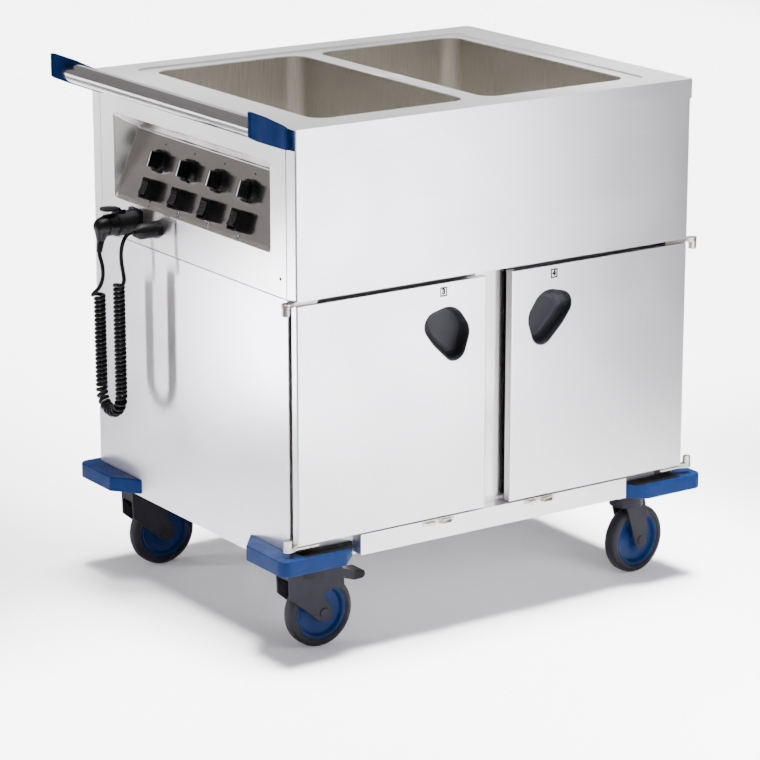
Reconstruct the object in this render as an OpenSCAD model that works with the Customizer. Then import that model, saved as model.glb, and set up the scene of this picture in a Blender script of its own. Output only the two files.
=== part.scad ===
// Hostess trolley: two heated wells in a worktop, two heated cupboards below, on four swivel castors.
// Body coordinates: X runs from the handle end (0) to the far end, Y from the doors (-) to the back (+),
// Z is the height above the floor. Every part is then moved so that the origin is the bottom centre.

/* [Worktop] */
// Length of the worktop, from the handle end to the far end
top_l = 810; // [800:5:830]
// Width of the worktop, from front to back
top_w = 660; // [655:5:680]
// Height of the worktop above the floor
top_h = 900; // [895:5:920]
// Height of the folded rim
rim_h = 34; // [28:1:40]
// Thickness of the sheet steel
sheet = 2; // [1.5:0.5:2]
// Depth of the shallow step round the wells
step_d = 3; // [2:0.5:4]
// Land between a well and the step
step_land = 25; // [18:1:30]

/* [Wells] */
// Length of a well opening, from front to back
well_l = 518; // [510:2:522]
// Width of a well opening
well_w = 302; // [296:2:306]
// Bar between the two wells
well_gap = 36; // [32:2:40]
// Depth of a well
well_d = 215; // [160:5:220]
// Corner radius of a well
well_r = 30; // [24:2:36]
// Radius at the bottom edge of a well
well_foot = 14; // [8:1:18]

/* [Upper housing] */
// Height of the lower edge of the upper housing
housing_z = 619; // [615:1:625]
// How far the rim stands out from the panels
rim_out = 2.5; // [2.5:0.5:4]
// Width of the apron returns at the corners
return_w = 28; // [22:1:34]
// Joint between a return and the end fascia
joint = 1.5; // [1:0.5:2]
// Outer radius of the folded corners of aprons and doors
fold_r = 3; // [2.5:0.5:4]

/* [Control recess] */
// Length of the recess mouth
recess_l = 506; // [490:2:520]
// Lower edge of the mouth
recess_z0 = 686; // [684:1:690]
// Upper edge of the mouth
recess_z1 = 837; // [830:1:842]
// Depth of the back edge behind the fascia
recess_d = 42; // [38:1:46]
// Height of the back edge
recess_back_z = 806; // [800:1:812]
// Spacing of the four control columns
control_pitch = 96; // [90:1:100]
// Knob diameter
knob_d = 42; // [38:1:44]
// Knob height off the panel
knob_h = 25; // [20:1:28]
// Width of a switch collar
switch_w = 28; // [26:1:32]
// Height of a switch collar along the panel
switch_l = 36; // [34:1:40]
// Height of a switch collar off the panel
switch_h = 18; // [14:1:20]

/* [Push handle] */
// Diameter of the push bar
bar_d = 34; // [30:1:36]
// Distance of the bar axis from the end of the worktop
bar_out = 50; // [48:1:52]
// Height of the bar axis above the worktop
bar_up = 3; // [1:1:5]
// How far the brackets stand out from the worktop
handle_out = 80; // [78:1:86]

/* [Doors] */
// Lower edge of a door
door_z0 = 208; // [207:0.5:209]
// Upper edge of a door
door_z1 = 611.5; // [610:0.5:611.5]
// Gap between the two doors
door_gap = 51; // [45:1:60]
// Thickness of a door without its seal
door_t = 15.5; // [14:0.5:16]
// Thickness of the door seal
seal_t = 9; // [8:0.5:9]
// Distance of the hinge pins from the end of the worktop
hinge_out = 14; // [12:1:15]
// Distance of the hinge pins behind the front of the worktop
hinge_in = 8; // [7:1:9]
// Depth of a finger grip
grip_d = 26; // [20:1:28]

/* [Running gear] */
// Wheel diameter
wheel_d = 125; // [120:1:125]
// Wheel width
wheel_w = 28; // [26:1:32]
// Distance of the handle-end swivel axes from the end of the worktop
castor_in_x = 65; // [62:1:70]
// Distance of the far swivel axes from the end of the worktop
castor_far_x = 70; // [62:1:76]
// Angle at which the front castor of the far end stands
castor_turn = 6; // [0:1:20]
// Distance of the swivel axes from the front and back of the worktop
castor_in_y = 72; // [68:1:76]
// Distance of a wheel axle behind its swivel axis
trail = 20; // [16:1:24]
// How far the bumpers stand out at the ends
bumper_out = 36; // [30:1:40]
// How far the bumpers stand out at the front and the back
bumper_side = 12; // [10:1:16]
// Bottom of the bumpers
bumper_z = 163.5; // [163.5:0.5:166]
// Height of the bumpers
bumper_h = 26.5; // [22:0.5:28]

/* [Supply cord] */
// Diameter of the cord
cord_d = 7; // [6:0.5:7]
// Mean radius of the curls
curl_r = 7.5; // [7:0.5:9]
// Number of curls
curls = 58; // [40:1:60]
// Spacing of the curls in the hanging limbs, relative to the bend
limb_pitch = 7.7; // [7.5:0.1:8.5]
// Spacing of the curls round the bend
bend_pitch = 10; // [9.5:0.1:12]

/* [Hidden] */
$fn = 64;

// Colours
steel = "silver";
satin = "lightgray";
blue = "royalblue";
black = [0.08, 0.08, 0.09];
charcoal = [0.25, 0.25, 0.28];

// Shared positions
frame_x = -(top_l + bumper_out - handle_out) / 2;
half_w = top_w / 2;
face_y = half_w - rim_out;
tuck = 8;
eps = 0.01;

module in_frame() translate([frame_x, 0, 0]) children();

// Mirrors a part made for the front left corner to the corner i: 1 front left, 2 rear left,
// 3 front right, 4 rear right
module at_corner(i)
  translate([i > 2 ? top_l : 0, 0, 0]) mirror([i > 2 ? 1 : 0, 0, 0]) mirror([0, i % 2 == 0 ? 1 : 0, 0])
    children();

// Mirrors a part of the left door to the right door
module at_door(right) translate([right ? top_l : 0, 0, 0]) mirror([right ? 1 : 0, 0, 0]) children();

// Rectangle with round corners, centred
module rrect(l, w, r) {
  square([l - 2 * r, w], center = true);
  square([l, w - 2 * r], center = true);
  for (x = [-1, 1], y = [-1, 1]) translate([x * (l / 2 - r), y * (w / 2 - r)]) circle(r);
}

// Plan of a folded sheet, seen from above, with its two front corners rounded
module front_rounded(x0, x1, y0, y1, r) {
  translate([x0 + r, y0]) square([x1 - x0 - 2 * r, y1 - y0]);
  translate([x0, y0 + r]) square([x1 - x0, y1 - y0 - r]);
  for (x = [x0 + r, x1 - r]) translate([x, y0 + r]) circle(r, $fn = 32);
}

// Points of an arc about c, from angle a0 to a1, in n steps
function arc(c, r, a0, a1, n = 8) =
  [for (i = [0:n]) let (a = a0 + (a1 - a0) * i / n) [c[0] + r * cos(a), c[1] + r * sin(a)]];

function castor_inset(i) = i > 2 ? castor_far_x : castor_in_x;

// ---- Worktop and wells ----

step_l = 2 * well_w + well_gap + 2 * step_land;
step_w = well_l + 2 * step_land;
rim_r = 4;
well_x = (well_w + well_gap) / 2;
well_t = 1.5;
flange_w = 12;
well_top = top_h - step_d - sheet;

module worktop() color(steel) in_frame() translate([top_l / 2, 0, 0]) difference() {
  translate([0, 0, top_h - rim_h]) linear_extrude(rim_h) rrect(top_l, top_w, rim_r);
  // space under the stepped area, and the deeper space under the land round it
  translate([0, 0, top_h - rim_h - 1]) linear_extrude(rim_h - step_d - sheet + 1)
    rrect(top_l - 2 * sheet, top_w - 2 * sheet, rim_r - sheet);
  translate([0, 0, top_h - rim_h]) linear_extrude(rim_h - sheet) difference() {
    rrect(top_l - 2 * sheet, top_w - 2 * sheet, rim_r - sheet);
    rrect(step_l + 2 * sheet, step_w + 2 * sheet, well_r);
  }
  translate([0, 0, top_h - step_d]) linear_extrude(step_d + 1) rrect(step_l, step_w, well_r - sheet);
  for (s = [-1, 1]) translate([s * well_x, 0, top_h - rim_h]) linear_extrude(rim_h)
    rrect(well_w, well_l, well_r);
}

// Deep-drawn tub shape, larger by g all round, with a rounded foot
module tub(g, z0, z1) hull() {
  for (a = [0:30:90]) translate([0, 0, z0 + well_foot * (1 - cos(a))]) linear_extrude(eps)
    rrect(well_w + 2 * g - 2 * well_foot * (1 - sin(a)), well_l + 2 * g - 2 * well_foot * (1 - sin(a)),
      well_r - well_foot * (1 - sin(a)) + 2, $fn = 40);
  translate([0, 0, z1 - eps]) linear_extrude(eps) rrect(well_w + 2 * g, well_l + 2 * g, well_r + g, $fn = 40);
}

module well(s) color(satin) in_frame() translate([top_l / 2 + s * well_x, 0, 0]) difference() {
  union() {
    tub(well_t, well_top - well_d - well_t, well_top);
    translate([0, 0, well_top - well_t]) linear_extrude(well_t)
      rrect(well_w + 2 * flange_w, well_l + 2 * flange_w, well_r);
  }
  tub(0, well_top - well_d, well_top + 1);
}

heater_t = 12;

module well_heaters() color(charcoal) in_frame() for (s = [-1, 1])
  translate([top_l / 2 + s * well_x, 0, well_top - well_d - well_t - heater_t]) linear_extrude(heater_t)
    rrect(well_w - 60, well_l - 80, 20);

// ---- Upper housing ----

apron_h = top_h - tuck - housing_z;
apron_lip = 24;

// Apron with a return at each corner and a lip along its lower edge
module apron() translate([0, 0, housing_z]) {
  linear_extrude(apron_h) difference() {
    front_rounded(rim_out, top_l - rim_out, -face_y, -face_y + return_w, fold_r);
    front_rounded(rim_out + sheet, top_l - rim_out - sheet, sheet - face_y, -face_y + return_w + 1,
      fold_r - sheet);
  }
  linear_extrude(sheet) front_rounded(rim_out, top_l - rim_out, -face_y, -face_y + apron_lip, fold_r);
}

module front_apron() color(steel) in_frame() apron();

module rear_apron() color(steel) in_frame() mirror([0, 1, 0]) apron();

fascia_w = 2 * (face_y - return_w - joint);

module end_plate() translate([rim_out, -fascia_w / 2, housing_z]) cube([sheet, fascia_w, apron_h]);

module end_fascia() color(steel) in_frame() translate([top_l, 0, 0]) mirror([1, 0, 0]) end_plate();

// The slanted control panel runs from the lower edge of the mouth to the rounded back edge
back_r = 4;
back_x = rim_out + recess_d - back_r;
back_in = 14;
panel_run = [back_x - rim_out, recess_back_z - recess_z0];
panel_tilt = atan2(panel_run[0], panel_run[1]) + asin(back_r / norm(panel_run));
control_y = -4;
knob_s = 84;
switch_s = 33;
spindle_r = 4;
run = 0.05;

// Places children on the control panel: local Z is the panel's outward normal, local X runs up the panel
module on_panel(y, s)
  translate([rim_out + s * sin(panel_tilt), y, recess_z0 + s * cos(panel_tilt)])
    rotate([0, panel_tilt - 90, 0]) children();

function column_y(i) = control_y + control_pitch * (2.5 - i);

// Space of the recess, larger by g: a wide mouth at x0 and a round back edge, joined by slanted walls
module recess(g, x0) hull() {
  translate([x0, 1, (recess_z0 + recess_z1) / 2]) rotate([0, 90, 0]) linear_extrude(rim_out - x0 + eps)
    rrect(recess_z1 - recess_z0 + 6 * g, recess_l + 6 * g, 6 + 3 * g, $fn = 32);
  translate([back_x, 1, recess_back_z]) rotate([90, 0, 0])
    cylinder(r = back_r + g, h = recess_l - 2 * back_in + 2 * g, center = true, $fn = 32);
}

module control_fascia() color(steel) in_frame() difference() {
  union() {
    end_plate();
    recess(well_t, rim_out);
  }
  recess(0, rim_out - 5);
  for (i = [1:4]) {
    on_panel(column_y(i), knob_s) translate([0, 0, -6]) cylinder(r = spindle_r + run, h = 12);
    on_panel(column_y(i), switch_s) translate([0, 0, -3])
      cube([switch_l - 3.6, switch_w - 3.6, 12], center = true);
  }
}

floor_t = 3;
floor_z = housing_z - floor_t;

module housing_floor() color(steel) in_frame() translate([rim_out + sheet, -seat_y, floor_z])
  cube([top_l - 2 * rim_out - 2 * sheet, seat_y + face_y - sheet, floor_t]);

// ---- Controls ----

module knob(i) color(black) in_frame() on_panel(column_y(i), knob_s) {
  grip_l = knob_d - 10;
  skirt_h = 9;
  // skirt with finger lobes
  translate([0, 0, 0.6]) difference() {
    cylinder(d1 = knob_d, d2 = knob_d - 3, h = skirt_h);
    for (a = [60:60:300]) rotate([0, 0, a]) translate([knob_d / 2 + 5, 0, 3])
      cylinder(r = 7, h = skirt_h, $fn = 32);
  }
  hull() {
    translate([0, 0, skirt_h / 2]) linear_extrude(1) rrect(grip_l, 14, 3, $fn = 24);
    translate([0, 0, knob_h - 1]) linear_extrude(1) rrect(grip_l - 4, 8, 2, $fn = 24);
  }
  translate([0, 0, -16]) cylinder(r = spindle_r, h = 20);
}

rocker_l = switch_l - 7;
rocker_w = switch_w - 7;
rocker_off = 7;
rocker_pin = 2;
pin_z = switch_h - 7;

// Rocker key: two facets that meet over the pin, with grip ribs, lying tilted in its off position
module rocker(i) color(charcoal) in_frame() on_panel(column_y(i), switch_s) translate([0, 0, pin_z])
  rotate([0, rocker_off, 0]) rotate([90, 0, 0]) {
    linear_extrude(rocker_w - 1, center = true) polygon(concat(
      [[-rocker_l / 2 + 2, -3], [rocker_l / 2 - 2, -3], [rocker_l / 2 - 2, 11]],
      [for (k = [0:5], e = [0, 1, 2, 3]) let (x = rocker_l / 2 - 3.5 - k * 3.8 - [0, 1.2, 1.9, 3.1][e])
        [x, 8.5 + abs(x) * 0.16 + [0.9, 0.9, 0, 0][e]]],
      [[-rocker_l / 2 + 2, 11]]));
    cylinder(r = rocker_pin, h = rocker_w + 5, center = true);
  }

module switch_collars() color(black) in_frame() for (i = [1:4]) on_panel(column_y(i), switch_s)
  difference() {
    union() {
      translate([0, 0, eps]) linear_extrude(switch_h) rrect(switch_l, switch_w, 2.5);
      translate([0, 0, -12]) cube([switch_l - 4, switch_w - 4, 26], center = true);
    }
    translate([0, 0, pin_z - 9]) linear_extrude(switch_h) square([rocker_l + 1, rocker_w + 1], center = true);
    translate([0, 0, pin_z]) rotate([90, 0, 0])
      cylinder(r = rocker_pin + run, h = rocker_w + 5.4, center = true);
  }

module thermostats() color(charcoal) in_frame() for (i = [1:4]) on_panel(column_y(i), knob_s)
  difference() {
    translate([0, 0, -26]) union() {
      cylinder(r = 17, h = 20);
      cylinder(r = 9, h = 24);
      translate([0, 0, 8]) cube([42, 8, 6], center = true);
    }
    translate([0, 0, -17]) cylinder(r = spindle_r + run, h = 20);
  }

// ---- Push handle ----

bar_z = top_h + bar_up;
tip_r = 5;
bar_half = half_w - 24;

module push_bar() color(steel) in_frame() translate([-bar_out, 0, bar_z]) rotate([90, 0, 0])
  difference() {
    cylinder(d = bar_d, h = 2 * bar_half, center = true);
    cylinder(d = bar_d - 4, h = 2 * bar_half + 2, center = true);
  }

// Plan of a bracket: a plate on the corner, a hollowed outer side, a thin tip and a slanted inner side.
// X is the distance out of the end face (negative), Y the distance in from the front face.
cove_r = 90;
cove_a = 24;
cove_tilt = 5;
cove = arc([-42 - cove_r * sin(cove_tilt), 13 + cove_r * cos(cove_tilt) - 2 * cove_r], cove_r,
  90 - cove_a + cove_tilt, 90 + cove_a + cove_tilt);
bracket_plan = concat([[2, 0], [-4, 0], [-5, 9]],
  [for (p = cove) if (p[0] < -7 && p[0] > tip_r - handle_out + 1) p],
  arc([tip_r - handle_out, 10], tip_r, 250, 110, 10),
  [[-64, 27], [-34, 46], [-8, 62], [2, 62]]);

// Side view of a bracket: it rises from the rim towards its tip
bracket_side = [[2, 0], [2, -rim_h], [-14, -31], [-46, -19], [-74, -7], [-handle_out, -2],
  [-handle_out, 36], [-74, 36.5], [-46, 25], [-14, 8], [-5, 1.5], [-2, 0]];

module bracket() difference() {
  intersection() {
    translate([0, -half_w, top_h - 60]) linear_extrude(120) polygon(bracket_plan);
    translate([0, -half_w + 80, top_h]) rotate([90, 0, 0]) linear_extrude(100) polygon(bracket_side);
  }
  translate([0, -half_w - 1, top_h - rim_h - 1]) cube([10, 80, rim_h + 2]);
  translate([-bar_out, 0, bar_z]) rotate([90, 0, 0])
    cylinder(d = bar_d + 0.2, h = 2 * bar_half, center = true);
}

module bracket_front() color(blue) in_frame() bracket();

module bracket_rear() color(blue) in_frame() mirror([0, 1, 0]) bracket();

// ---- Lower body ----

side_z0 = 158;
side_z1 = housing_z - 1.5;
seat_y = half_w - 28;
frame_t = 2.5;

module side_panel() {
  translate([rim_out, -seat_y + 0.2, side_z0]) cube([sheet, seat_y + face_y - 0.2, side_z1 - side_z0]);
  translate([rim_out, face_y - sheet, side_z0]) cube([16, sheet, side_z1 - side_z0]);
}

module side_panel_left() color(steel) in_frame() side_panel();

module side_panel_right() color(steel) in_frame() translate([top_l, 0, 0]) mirror([1, 0, 0]) side_panel();

module rear_panel() color(steel) in_frame() translate([rim_out + 16.5, face_y - sheet, side_z0])
  cube([top_l - 2 * rim_out - 33, sheet, side_z1 - side_z0]);

liner_z0 = 225;
liner_z1 = 610;
liner_t = 1.5;
post_w = 64;
liner_x0 = rim_out + 5.5;
liner_x1 = (top_l - post_w) / 2;
liner_y1 = half_w - 20;
runner_w = 34;
runner_pitch = 92;

// Cupboard liner of the left side: an open-fronted box with a front flange and four pairs of runners
module liner() {
  l = liner_x1 - liner_x0;
  w = seat_y + liner_y1;
  h = liner_z1 - liner_z0;
  difference() {
    union() {
      translate([liner_x0, -seat_y, liner_z0]) cube([l, w, h]);
      translate([rim_out + sheet, -seat_y, tray_z1])
        cube([liner_x1 - rim_out - sheet, liner_t, floor_z - tray_z1]);
    }
    translate([liner_x0 + liner_t, -seat_y - 1, liner_z0 + liner_t])
      cube([l - 2 * liner_t, w - liner_t + 1, h - 2 * liner_t]);
  }
  for (k = [0:3], s = [0, 1]) translate([s == 0 ? liner_x0 : liner_x1, 0, liner_z0 + 48 + k * runner_pitch])
    mirror([s, 0, 0]) translate([0, liner_y1 - 20, 0]) rotate([90, 0, 0]) linear_extrude(w - 60)
      polygon([[liner_t / 2, -3], [runner_w, 4], [runner_w, 9], [liner_t / 2, 9]]);
}

module liner_left() color(satin) in_frame() liner();

module liner_right() color(satin) in_frame() translate([top_l, 0, 0]) mirror([1, 0, 0]) liner();

module mullion() color(steel) in_frame() translate([(top_l - post_w) / 2, -seat_y, tray_z1]) difference() {
  cube([post_w, 40, floor_z - tray_z1]);
  translate([sheet, sheet, -1]) cube([post_w - 2 * sheet, 40, floor_z - tray_z1 + 2]);
}

// Base frame: an inverted tray, a fascia below the doors between the bumpers, and four castor pads
tray_x0 = rim_out + 2.5;
tray_z0 = 165;
tray_z1 = 205.5;
fascia_x0 = 126;
fascia_z0 = 170;
pad_z = 158.5;
pad_l = 118;
pad_w = 96;
spigot_r = 8;
spigot_h = 20;

// Tray open below: a box of size s with walls of frame_t and no floor
module open_tray(s) difference() {
  cube(s);
  translate([frame_t, frame_t, -1]) cube(s - [2 * frame_t, 2 * frame_t, frame_t - 1]);
}

module base_frame() color(steel) in_frame() {
  tray_l = top_l - 2 * tray_x0;
  tray_w = seat_y + face_y - 2.5;
  translate([tray_x0, -seat_y, tray_z0]) open_tray([tray_l, tray_w, tray_z1 - tray_z0]);
  // fascia below the doors
  fascia_l = top_l - 2 * fascia_x0;
  fascia_h = tray_z1 - fascia_z0;
  translate([fascia_x0, -face_y, fascia_z0]) difference() {
    cube([fascia_l, face_y - seat_y + 1, fascia_h]);
    translate([frame_t, frame_t, -1])
      cube([fascia_l - 2 * frame_t, face_y - seat_y - frame_t, fascia_h + 1 - frame_t]);
  }
  for (i = [1:4]) at_corner(i) {
    translate([tray_x0, -seat_y, pad_z]) cube([pad_l, pad_w, tray_z0 + 1 - pad_z]);
    translate([castor_inset(i), castor_in_y - half_w, pad_z - spigot_h])
      cylinder(r = spigot_r, h = spigot_h + 1);
  }
  // ribs between the pads
  for (x = [tray_x0 + pad_l, top_l / 2, top_l - tray_x0 - pad_l])
    translate([x - frame_t / 2, -seat_y + 1, tray_z0]) cube([frame_t, tray_w - 2.5, tray_z1 - tray_z0 - 1]);
}

// ---- Doors ----

door_x0 = 3;
door_x1 = (top_l - door_gap) / 2;
door_h = door_z1 - door_z0;
skin = 1.5;
seal_w = 12;

// Finger grip outline, seen from the front of the left door: a rounded triangle
grip_c = [298, 525];
grip_circles = [[-21.5, 16, 24], [0.5, 8, 37], [13, -3, 33], [16, -26.5, 23]];
grip_wall = 2;
grip_floor = 3;

module grip_outline(g) hull() for (c = grip_circles) translate([c[0], c[1]]) circle(c[2] + g, $fn = 48);

// Turns a shape drawn in the door's front view into a solid that goes d into the door from depth y
module into_door(y, d)
  translate([grip_c[0], -half_w + y + d, grip_c[1]]) rotate([90, 0, 0]) linear_extrude(d) children();

module door() difference() {
  union() {
    difference() {
      translate([0, 0, door_z0]) linear_extrude(door_h)
        front_rounded(door_x0, door_x1, -face_y, -face_y + door_t, fold_r);
      translate([door_x0 + skin, -face_y + skin, door_z0 + skin])
        cube([door_x1 - door_x0 - 2 * skin, door_t, door_h - 2 * skin]);
    }
    // inner panel, let into the outer one
    translate([door_x0 + skin + 0.3, -face_y + door_t - 4, door_z0 + skin + 0.3])
      cube([door_x1 - door_x0 - 2 * skin - 0.6, 4, door_h - 2 * skin - 0.6]);
  }
  into_door(0, 40) grip_outline(0.2);
}

module door_left() color(steel) in_frame() door();

module door_right() color(steel) in_frame() at_door(true) door();

module seal() translate([(door_x0 + door_x1) / 2, -face_y + door_t + seal_t, (door_z0 + door_z1) / 2])
  rotate([90, 0, 0]) linear_extrude(seal_t) difference() {
    rrect(door_x1 - door_x0 - 10, door_h - 6, 8);
    rrect(door_x1 - door_x0 - 10 - 2 * seal_w, door_h - 6 - 2 * seal_w, 4);
  }

module seal_left() color(black) in_frame() seal();

module seal_right() color(black) in_frame() at_door(true) seal();

// Finger cup: a bowl with round walls, deepest towards the free edge of the door
module grip() difference() {
  into_door(rim_out, grip_d) grip_outline(0);
  hull() {
    into_door(rim_out - 1, 1.5) grip_outline(-grip_wall);
    for (a = [0:18:90]) into_door(rim_out + (grip_d - grip_floor) * sin(a), eps)
      translate([9 * (1 - cos(a)), 0]) scale(1 - 0.3 * (1 - cos(a))) grip_outline(-grip_wall);
  }
}

module grip_left() color(charcoal) in_frame() grip();

module grip_right() color(charcoal) in_frame() at_door(true) grip();

// Hinges: a fixed plate with a pin above and below each door, and an arm with a barrel on the door
hinge_pin_r = 3;
barrel_r = 7;
barrel_h = 16;
plate_l = 46;
plate_r = 7.6;
plate_t = 3.8;
arm_t = 3;

// Flat arm from the pin to the door or the housing: round at the pin, straight between y0 and y1 beyond
module hinge_plate(t, r, y0, y1) linear_extrude(t) {
  circle(r);
  polygon([[0, -r], [6, -r], [16, y0], [hinge_out + plate_l, y0], [hinge_out + plate_l, y1], [16, y1],
    [6, r], [0, r]]);
}

module at_pin(z) translate([-hinge_out, hinge_in - half_w, z]) children();

module hinge_bracket_pair() {
  at_pin(housing_z - plate_t) {
    hinge_plate(plate_t, plate_r, -2, 16);
    translate([0, 0, -barrel_h - 2]) cylinder(r = hinge_pin_r, h = barrel_h + 3);
  }
  at_pin(door_z0 - arm_t - 0.5 - plate_t) {
    hinge_plate(plate_t, plate_r, -2, 16);
    translate([0, 0, plate_t - 1]) cylinder(r = hinge_pin_r, h = barrel_h + 3);
    // lug and flange on the front of the base frame
    translate([hinge_out + 6, 28 - hinge_in - 2, -10]) cube([plate_l - 8, 2, 10 + plate_t]);
    translate([hinge_out + 6, 8, 0]) cube([plate_l - 8, 28 - hinge_in - 8, plate_t]);
  }
}

module hinge_brackets() color(steel) in_frame() {
  hinge_bracket_pair();
  at_door(true) hinge_bracket_pair();
}

module hinge_arm(up) mirror([0, 0, up ? 0 : 1]) difference() {
  union() {
    hinge_plate(arm_t, plate_r, 0, 14);
    translate([0, 0, arm_t - barrel_h]) cylinder(r = barrel_r, h = barrel_h);
  }
  translate([0, 0, arm_t - barrel_h - 1]) cylinder(r = hinge_pin_r + run, h = barrel_h + 2);
}

module hinge_arms() {
  at_pin(door_z1) hinge_arm(true);
  at_pin(door_z0) hinge_arm(false);
}

module hinge_arms_left() color(satin) in_frame() hinge_arms();

module hinge_arms_right() color(satin) in_frame() at_door(true) hinge_arms();

// Folded spring catches on the fascia below the doors: a strip with a hooked keeper and a square clip
catch_x = [250, 462];

module door_catch() {
  translate([0, -1.5, -8]) cube([64, 1.5, 7]);
  translate([8, -9, -8]) cube([14, 1.4, 6]);
  translate([8, -9, -3.4]) cube([14, 9, 1.4]);
  translate([36, -8, -9]) difference() {
    cube([20, 8, 8]);
    translate([1.5, -1, 1.5]) cube([17, 8, 5]);
  }
}

module door_catches() color(satin) in_frame() for (x = catch_x) translate([x, -face_y, tray_z1]) door_catch();

// ---- Running gear ----

corner_r = 18;
arm_end = 102;
arm_wall = 150;
toe_end = 88;

// Plan of a bumper: an L round the corner with slanted ends, against a wall that is set back by seat
function bumper_plan(seat) = let (toe = min(seat, 24), toe_x = toe_end + bumper_side + toe) concat(
  [[rim_out, seat], [rim_out, arm_wall], [-bumper_out, arm_end]],
  arc([corner_r - bumper_out, corner_r - bumper_side], corner_r, 180, 270, 10),
  [[toe_end, -bumper_side], [toe_x, toe]], seat > toe ? [[toe_x, seat]] : []);

module bumper(i) color(blue) in_frame() at_corner(i) translate([0, -half_w, bumper_z])
  linear_extrude(bumper_h) polygon(bumper_plan(i % 2 == 0 ? rim_out : half_w - seat_y));

wheel_r = wheel_d / 2;
axle_r = 6;
leg_gap = wheel_w / 2 + 2.5;
leg_t = 4.5;
head_r = 30;
head_z0 = wheel_d + 5;
head_z1 = pad_z - 1;

module at_castor(i) translate([i > 2 ? top_l - castor_far_x : castor_in_x,
    (i % 2 == 0 ? 1 : -1) * (half_w - castor_in_y), 0]) rotate([0, 0, i == 3 ? castor_turn : 0]) children();

// Side views of a fork leg, X from the swivel axis: plain, and with the housing of the brake
leg_plain = concat([[-16, head_z0 + 8], [-13, head_z0 - 12]], arc([trail, wheel_r], 14, 197, 360, 12),
  [[34, head_z0 - 20], [28, head_z0 + 8]]);
leg_brake = concat([[-50, head_z1 - 6], [-48, 100]], arc([trail, wheel_r], 16, 229, 395, 12),
  [[19, 92], [24, 99], [42, 103], [60, 99], [60, head_z0], [48, head_z1 - 6]]);
pedal_pin = [50, 129];
pedal_pin_r = 3;

module fork_leg(s, side) translate([0, s * (leg_gap + leg_t / 2) + leg_t / 2, 0]) rotate([90, 0, 0])
  linear_extrude(leg_t) polygon(side);

// Moulded fork: a round head on the swivel, two legs and the axle with its caps
module castor_fork(i) color(charcoal) in_frame() at_castor(i) {
  braked = i < 3;
  difference() {
    union() {
      translate([0, 0, head_z0]) cylinder(r = head_r, h = head_z1 - head_z0 - 3);
      translate([0, 0, head_z1 - 3 - eps]) cylinder(r1 = head_r, r2 = head_r - 3, h = 3 + eps);
      if (braked) translate([-49, -leg_gap - leg_t, head_z0]) cube([86, 2 * (leg_gap + leg_t), 20]);
    }
    translate([0, 0, head_z1 - spigot_h + 0.5]) cylinder(r = spigot_r + run, h = spigot_h + 2);
  }
  for (s = [-1, 1]) fork_leg(s, braked ? leg_brake : leg_plain);
  translate([trail, 0, wheel_r]) rotate([90, 0, 0]) {
    cylinder(r = axle_r, h = 2 * leg_gap + 2, center = true);
    for (s = [-1, 1]) translate([0, 0, s * (leg_gap + leg_t + 0.5)]) cylinder(r = 9, h = 3, center = true);
  }
  if (braked) translate([pedal_pin[0], 0, pedal_pin[1]]) rotate([90, 0, 0])
    cylinder(r = pedal_pin_r, h = 2 * leg_gap + 2, center = true);
}

// Wheel: a crowned tyre on a dished disc with a long hub
tyre_t = 14;
hub_r = 15;
disc_t = 8;

// Half of the wheel's section, from the middle of the tread to the bore, as [radius, half width]
wheel_half = concat([[wheel_r, wheel_w / 2 - 12]], arc([wheel_r - 10, wheel_w / 2 - 10], 10, 30, 90, 5),
  [[wheel_r - tyre_t, wheel_w / 2 - 3], [wheel_r - tyre_t - 3, wheel_w / 2 - 4],
   [wheel_r - tyre_t - 8, disc_t / 2], [hub_r + 8, disc_t / 2], [hub_r + 3, disc_t / 2 + 2],
   [hub_r, wheel_w / 2 - 2], [hub_r - 3, wheel_w / 2 + 2], [axle_r + run, wheel_w / 2 + 2]]);

module castor_wheel(i) color(blue) in_frame() at_castor(i) translate([trail, 0, wheel_r]) rotate([90, 0, 0])
  rotate_extrude($fn = 96) polygon(concat(wheel_half,
    [for (k = [len(wheel_half) - 1:-1:0]) [wheel_half[k][0], -wheel_half[k][1]]]));

pedal_w = 31;
pedal_tip = 7.5;

// Brake pedal: a broad lever on a pin between the fork's plates, reaching out over the wheel
module brake_pedal(i) color(charcoal) in_frame() at_castor(i) difference() {
  translate([0, pedal_w / 2, 0]) rotate([90, 0, 0]) linear_extrude(pedal_w) polygon(concat(
    arc(pedal_pin, 6.5, 240, 60, 10), [[84, 123.5]], arc([98, 115], pedal_tip, 80, -90, 8),
    [[84, 107], [62, 114.5]]));
  translate([pedal_pin[0], 0, pedal_pin[1]]) rotate([90, 0, 0])
    cylinder(r = pedal_pin_r + run, h = pedal_w + 2, center = true);
}

// ---- Supply cord ----

socket_y = 181;
socket_z = 657;
socket_r = 21.5;
socket_x = -40;
gland_y = 103;
gland_z = 658;
gland_x = -48;
gland_r = 13.5;
lid_pin = [-36, 683];

module along_x(x0, x1, y, z) translate([x0, y, z]) rotate([0, 90, 0]) linear_extrude(x1 - x0) children();

// Parking socket for the plug, with the two ears and the pin of its lid
module parking_socket() color(black) in_frame() {
  along_x(socket_x, rim_out, socket_y, socket_z) circle(socket_r);
  along_x(rim_out - 3, rim_out, socket_y, socket_z) rrect(46, 46, 6);
  for (s = [-1, 1]) translate([lid_pin[0], socket_y + s * 9, lid_pin[1]]) rotate([90, 0, 0]) {
    cylinder(r = 3.5, h = 3, center = true);
    translate([0, -3.5, 0]) cube([7, 7, 3], center = true);
    translate([6, -3.5, 0]) cube([12, 7, 3], center = true);
  }
  translate([lid_pin[0], socket_y, lid_pin[1]]) rotate([90, 0, 0]) cylinder(r = 1.5, h = 20, center = true);
}

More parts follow.
